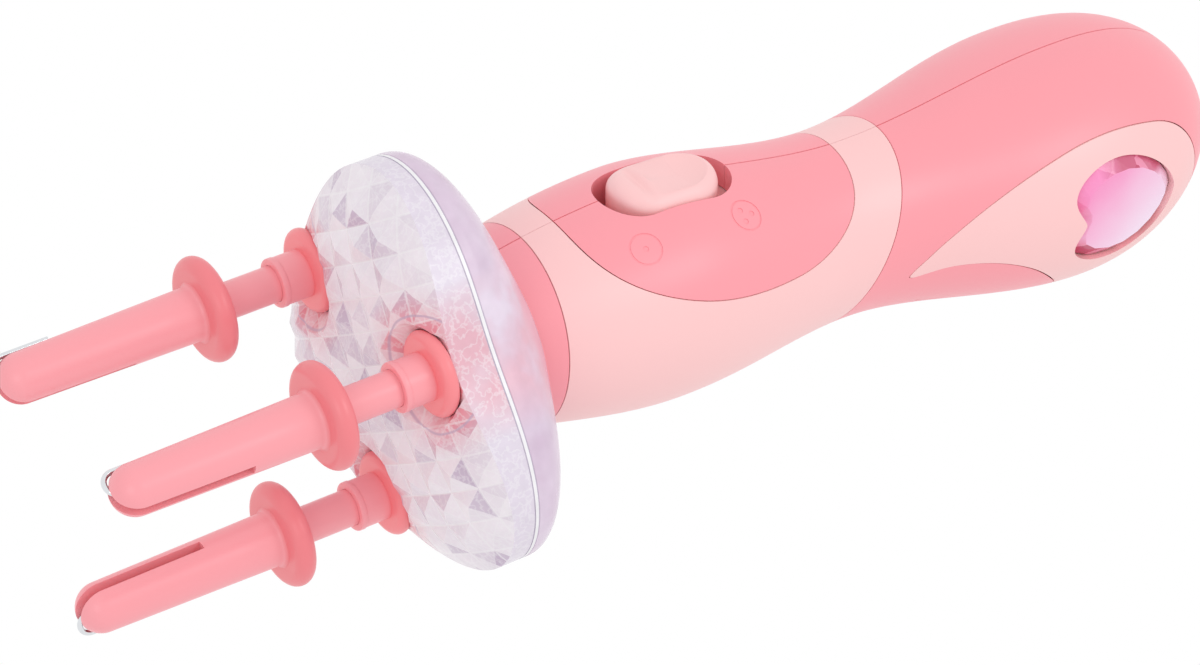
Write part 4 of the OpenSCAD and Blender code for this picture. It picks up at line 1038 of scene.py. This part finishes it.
def relief_block(push, peak, back_x):
    """A block behind the relief's net, with a pyramid in each cell."""
    cells, rows = (FINE * n for n in RELIEF_CELLS)
    c, s = polar(1, RELIEF_TURN)

    def place(i, j):
        a, b = (pitch * (n / FINE - count / 2)
                for n, count, pitch in zip((i, j), RELIEF_CELLS, RELIEF_PITCH))
        return a * c - b * s, a * s + b * c

    def at(i, j):
        return i * (rows + 1) + j

    points = []
    for i in range(cells + 1):
        for j in range(rows + 1):
            y, z = place(i, j)
            points.append((relief_x(i / FINE - 0.5, j / FINE - 0.5, y, z, peak) + push, y, z))
    b0 = len(points)
    points += [(back_x, *place(i, j)) for i, j in ((0, 0), (cells, 0), (cells, rows), (0, rows))]
    faces = [(b0 + 3, b0 + 2, b0 + 1, b0)]
    for i in range(cells):
        for j in range(rows):
            square = (at(i, j), at(i + 1, j), at(i + 1, j + 1), at(i, j + 1))
            same = (i % FINE < FINE / 2) == (j % FINE < FINE / 2)
            p, q, r, t = square if same else square[1:] + square[:1]
            faces += [(p, q, r), (p, r, t)]
    faces += [tuple(at(i, 0) for i in range(cells, -1, -1)) + (b0, b0 + 1),
              tuple(at(cells, j) for j in range(rows, -1, -1)) + (b0 + 1, b0 + 2),
              tuple(at(i, rows) for i in range(cells + 1)) + (b0 + 2, b0 + 3),
              tuple(at(0, j) for j in range(rows + 1)) + (b0 + 3, b0)]
    return outward(mesh_object("relief", points, faces))


def seam_profile(side):
    """Places and insets of the lip beside the seam: a band, then a fine groove."""
    steps = ((0, 0), (SEAM_BAND, 0), (SEAM_BAND + 0.05, SEAM_DEEP), (SEAM_BAND + SEAM_LINE, SEAM_DEEP),
             (SEAM_BAND + SEAM_LINE + 0.1, 0))
    return [(SEAM_X + side * step, inset) for step, inset in steps]


def in_head(obj):
    """Turns a mesh to the head's place at rest."""
    obj.data.transform(Matrix.Rotation(math.radians(HEAD_TURN), 4, "X"))
    return obj


def dome():
    """The clear front dome: relief outside, smooth inside, with a cup and a tube for each prong."""
    rings = [head_ring(x, inset) for x, inset in seam_profile(-1)] + [head_ring(AHEAD_X, 0)]
    shell = loft("clear_dome", rings)
    common(shell, relief_block(0, RELIEF_H, BEHIND_X))
    hollow = loft("hollow", [head_ring(AHEAD_X, CLEAR_WALL), head_ring(SEAM_X + 1, CLEAR_WALL)])
    cut(shell, common(hollow, relief_block(CLEAR_WALL, 0, BEHIND_X)))
    inside = loft("inside", [head_ring(AHEAD_X, CLEAR_WALL / 2), head_ring(SEAM_X, CLEAR_WALL / 2)])
    common(inside, relief_block(CLEAR_WALL / 2, 0, BEHIND_X))
    for place in prong_places():
        cup = tube(BASE_FLANGE_R + CUP_GAP + CUP_SIDE, AHEAD_X, CUP_X + 2, place)
        join(cup, tube(SHANK_R + RUN_FIT + BOSS_WALL, CUP_X + 1, BOSS_TUBE_END + 0.2, place))
        join(shell, common(cup, inside, keep=True))
    bpy.data.objects.remove(inside)
    for place in prong_places():
        cut(shell, tube(BASE_FLANGE_R + CUP_GAP, AHEAD_X, CUP_X, place))
        cut(shell, loft("chamfer", [[(x, y, z) for y, z in circle(BASE_FLANGE_R + CUP_GAP + wide, place)]
                                    for x, wide in ((CUP_RIM_X - 5, 5), (CUP_RIM_X, 0))]))
        cut(shell, tube(SHANK_R + RUN_FIT, AHEAD_X, BOSS_TUBE_END + 1, place))
        cut(shell, tube(CLIP_POCKET_R, BOSS_TUBE_END, BOSS_TUBE_END + 0.15 + CLIP_T + FREE_GAP, place))
    return in_head(shell)


COVER_RINGS = 36


def cover_skin(name, inset, x_start, x_back, lip=()):
    """The cover's skin, from the head's outline at the seam to its round back edge."""
    rings = [head_ring(x, inset + deep) for x, deep in lip] or [head_ring(x_start, inset)]
    rings += [head_ring(mix(COVER_RIM_X, x_back, k / COVER_RINGS), inset, (k / COVER_RINGS) ** 2)
              for k in range(COVER_RINGS + 1)]
    return loft(name, rings)


def cover():
    """The clear rear cover with the hub that turns in the neck."""
    shell = cover_skin("clear_cover", 0, SEAM_X, COVER_BACK_X, seam_profile(1))
    cut(shell, cover_skin("hollow", CLEAR_WALL, SEAM_X - 1, COVER_BACK_X - CLEAR_WALL))
    join(shell, tube(HUB_R, COVER_BACK_X - CLEAR_WALL - 0.5, HUB_END_X))
    join(shell, tube(OUTPUT_R + OUTPUT_WALL, GEAR_X + GEAR_W + 1, COVER_BACK_X - 1))
    inside = cover_skin("inside", CLEAR_WALL / 2, SEAM_X, COVER_BACK_X - CLEAR_WALL / 2)
    for place in prong_places():
        boss = tube(PIVOT_R + PIVOT_WALL, GEAR_X + GEAR_W + 1, COVER_BACK_X, place)
        join(shell, common(boss, inside, keep=True))
        cut(shell, tube(PIVOT_R + RUN_FIT, GEAR_X + GEAR_W, GEAR_X + GEAR_W + PIVOT_L + FREE_GAP, place))
    bpy.data.objects.remove(inside)
    cut(shell, tube(OUTPUT_R + RUN_FIT, SEAM_X, HUB_END_X + 1))
    groove = tube(HUB_R + 1, RETAINER_X, RETAINER_X + RETAINER_T + 0.1)
    cut(shell, cut(groove, tube(RETAINER_GROOVE_R, RETAINER_X - 1, RETAINER_X + RETAINER_T + 1)))
    return in_head(shell)


def build_head():
    piece(smooth(dome(), 18), "head", "clear_lilac", CLEAR_RELIEF, "front_dome")
    piece(smooth(cover(), 35), "head", "clear_lilac", CLEAR_COVER, "rear_cover")


# ---------------------------------------------------------------- prongs

def arc(x, y, r, a0, a1, steps=10):
    """Points (x, r) of an arc in a profile, with the angle in degrees from -X towards larger r."""
    turns = (mix(a0, a1, i / steps) for i in range(steps + 1))
    return [(x - u, y + v) for u, v in (polar(r, a) for a in turns)]


def at_prong(obj, name):
    """Moves a mesh built about X to its prong."""
    angle, turn = PRONGS[name]
    spin = Matrix.Rotation(math.radians(HEAD_TURN + angle), 4, "X")
    shift = Matrix.Translation((0, PRONG_CIRCLE_R * MM, 0))
    obj.data.transform(spin @ shift @ Matrix.Rotation(math.radians(turn), 4, "X"))
    return obj


def sleeve(name):
    """The sliding sleeve: tapered barrel with a slot across its tip, round flange and neck."""
    rim = SLIDE_FLANGE_T / 2
    tip = (math.radians(a) for a in range(6, 91, 6))
    profile = [(TIP_X, 0)] + [(TIP_X + TIP_R * (1 - math.cos(a)), TIP_R * math.sin(a)) for a in tip]
    profile += [(mix(TIP_X + TIP_R, SLIDE_FLANGE_X - 1.2, t), mix(TIP_R, BARREL_R, t))
                for t in (0.2, 0.4, 0.6, 0.8, 1)]
    profile += [(SLIDE_FLANGE_X - 0.5, BARREL_R + 0.25), (SLIDE_FLANGE_X, BARREL_R + 0.8)]
    profile += arc(SLIDE_FLANGE_X + rim, SLIDE_FLANGE_R - rim, rim, 0, 180, 20)
    back = SLIDE_FLANGE_X + SLIDE_FLANGE_T
    profile += [(back, NECK_R + 0.9), (back + 0.3, NECK_R + 0.35), (back + 0.9, NECK_R),
                (NECK_END_X, NECK_R), (NECK_END_X, 0)]
    barrel = lathe(name + "_barrel_skin", profile)
    cut(barrel, block("slot", (TIP_X - 1, -SLIDE_FLANGE_R, -SLOT_W / 2),
                      (TIP_X + SLOT_L, SLIDE_FLANGE_R, SLOT_W / 2)))
    return at_prong(barrel, name)


def collar_lip(name):
    """The rounded lip round the mouth of the spindle's collar."""
    r, front = COLLAR_R + LIP_OUT, -COLLAR_L - 0.02
    bore, back = NECK_R + MOUTH_GAP, front + LIP_L
    profile = [(front, bore), (front, r - 0.3), (front + 0.1, r - 0.1), (front + 0.3, r), (back - 0.2, r),
               (back - 0.08, r - 0.06), (back, COLLAR_R - 0.05), (back, bore)]
    return at_prong(lathe(name + "_collar_lip", profile, endless=True), name)


def build_prongs():
    for name in PRONGS:
        piece(smooth(sleeve(name), 35), name + "_barrel", "coral_pink", BARREL_PINK, name + "_sleeve")
        piece(smooth(collar_lip(name), 35), name + "_prong", "coral_pink", CORAL_PINK)


# ---------------------------------------------------------------- camera and light

# Camera: place in millimetres, turn round Z and rise in degrees, and lens for a sensor 36 mm wide
CAMERA_PLACE = (-347.9, -621.0, 554.1)
CAMERA_TURN = -32.95
CAMERA_RISE = 37.35
CAMERA_LENS = 133.5


def set_camera():
    data = bpy.data.cameras.new("camera")
    data.lens = CAMERA_LENS
    data.sensor_width = 36
    data.clip_end = 10
    camera = new_object("camera", data)
    az, el = math.radians(CAMERA_TURN), math.radians(CAMERA_RISE)
    back = Vector((math.sin(az) * math.cos(el), -math.cos(az) * math.cos(el), math.sin(el)))
    right = Vector((math.cos(az), math.sin(az), 0))
    up = back.cross(right)
    axes = Matrix((right, up, back)).transposed().to_4x4()
    camera.matrix_world = Matrix.Translation([c * MM for c in CAMERA_PLACE]) @ axes
    bpy.context.scene.camera = camera


def area_light(name, place, target, size, power):
    data = bpy.data.lights.new(name, "AREA")
    data.shape = "RECTANGLE"
    data.size, data.size_y = size
    data.energy = power
    light = new_object(name, data)
    place, target = Vector(place), Vector(target)
    turn = (target - place).to_track_quat("-Z", "Y").to_matrix().to_4x4()
    light.matrix_world = Matrix.Translation(place) @ turn


LAMP_LEVEL = 0.87
# Lamps: name, place, target and size in metres, and power
LAMPS = (("key", (0.46, -0.6, 0.58), (0.06, 0, 0), (0.4, 0.3), 1.2),
         ("fill", (-0.6, -0.5, 0.5), (0, 0, 0), (0.4, 0.4), 0.7))


def set_light():
    """A world that is white where it is seen or mirrored and dimmer as a light, and large soft lamps."""
    world = bpy.data.worlds.new("studio")
    bpy.context.scene.world = world
    world.use_nodes = True
    tree = world.node_tree
    tree.nodes.clear()
    output = tree.nodes.new("ShaderNodeOutputWorld")
    choose = tree.nodes.new("ShaderNodeMixShader")
    lamp = tree.nodes.new("ShaderNodeBackground")
    lamp.inputs["Strength"].default_value = LAMP_LEVEL
    white = tree.nodes.new("ShaderNodeBackground")
    path = tree.nodes.new("ShaderNodeLightPath")
    seen = path.outputs["Is Camera Ray"]
    for ray in ("Is Glossy Ray", "Is Transmission Ray"):
        seen = math_node(tree, "MAXIMUM", seen, path.outputs[ray])
    for node in (lamp, white):
        node.inputs["Color"].default_value = (1, 1, 1, 1)
    tree.links.new(seen, choose.inputs["Fac"])
    tree.links.new(lamp.outputs["Background"], choose.inputs[1])
    tree.links.new(white.outputs["Background"], choose.inputs[2])
    tree.links.new(choose.outputs["Shader"], output.inputs["Surface"])
    for lamp_values in LAMPS:
        area_light(*lamp_values)
    bpy.context.scene.view_settings.view_transform = "Standard"


dress_cad_nodes()
build_handle()
build_switch()
build_head()
build_prongs()
set_camera()
set_light()
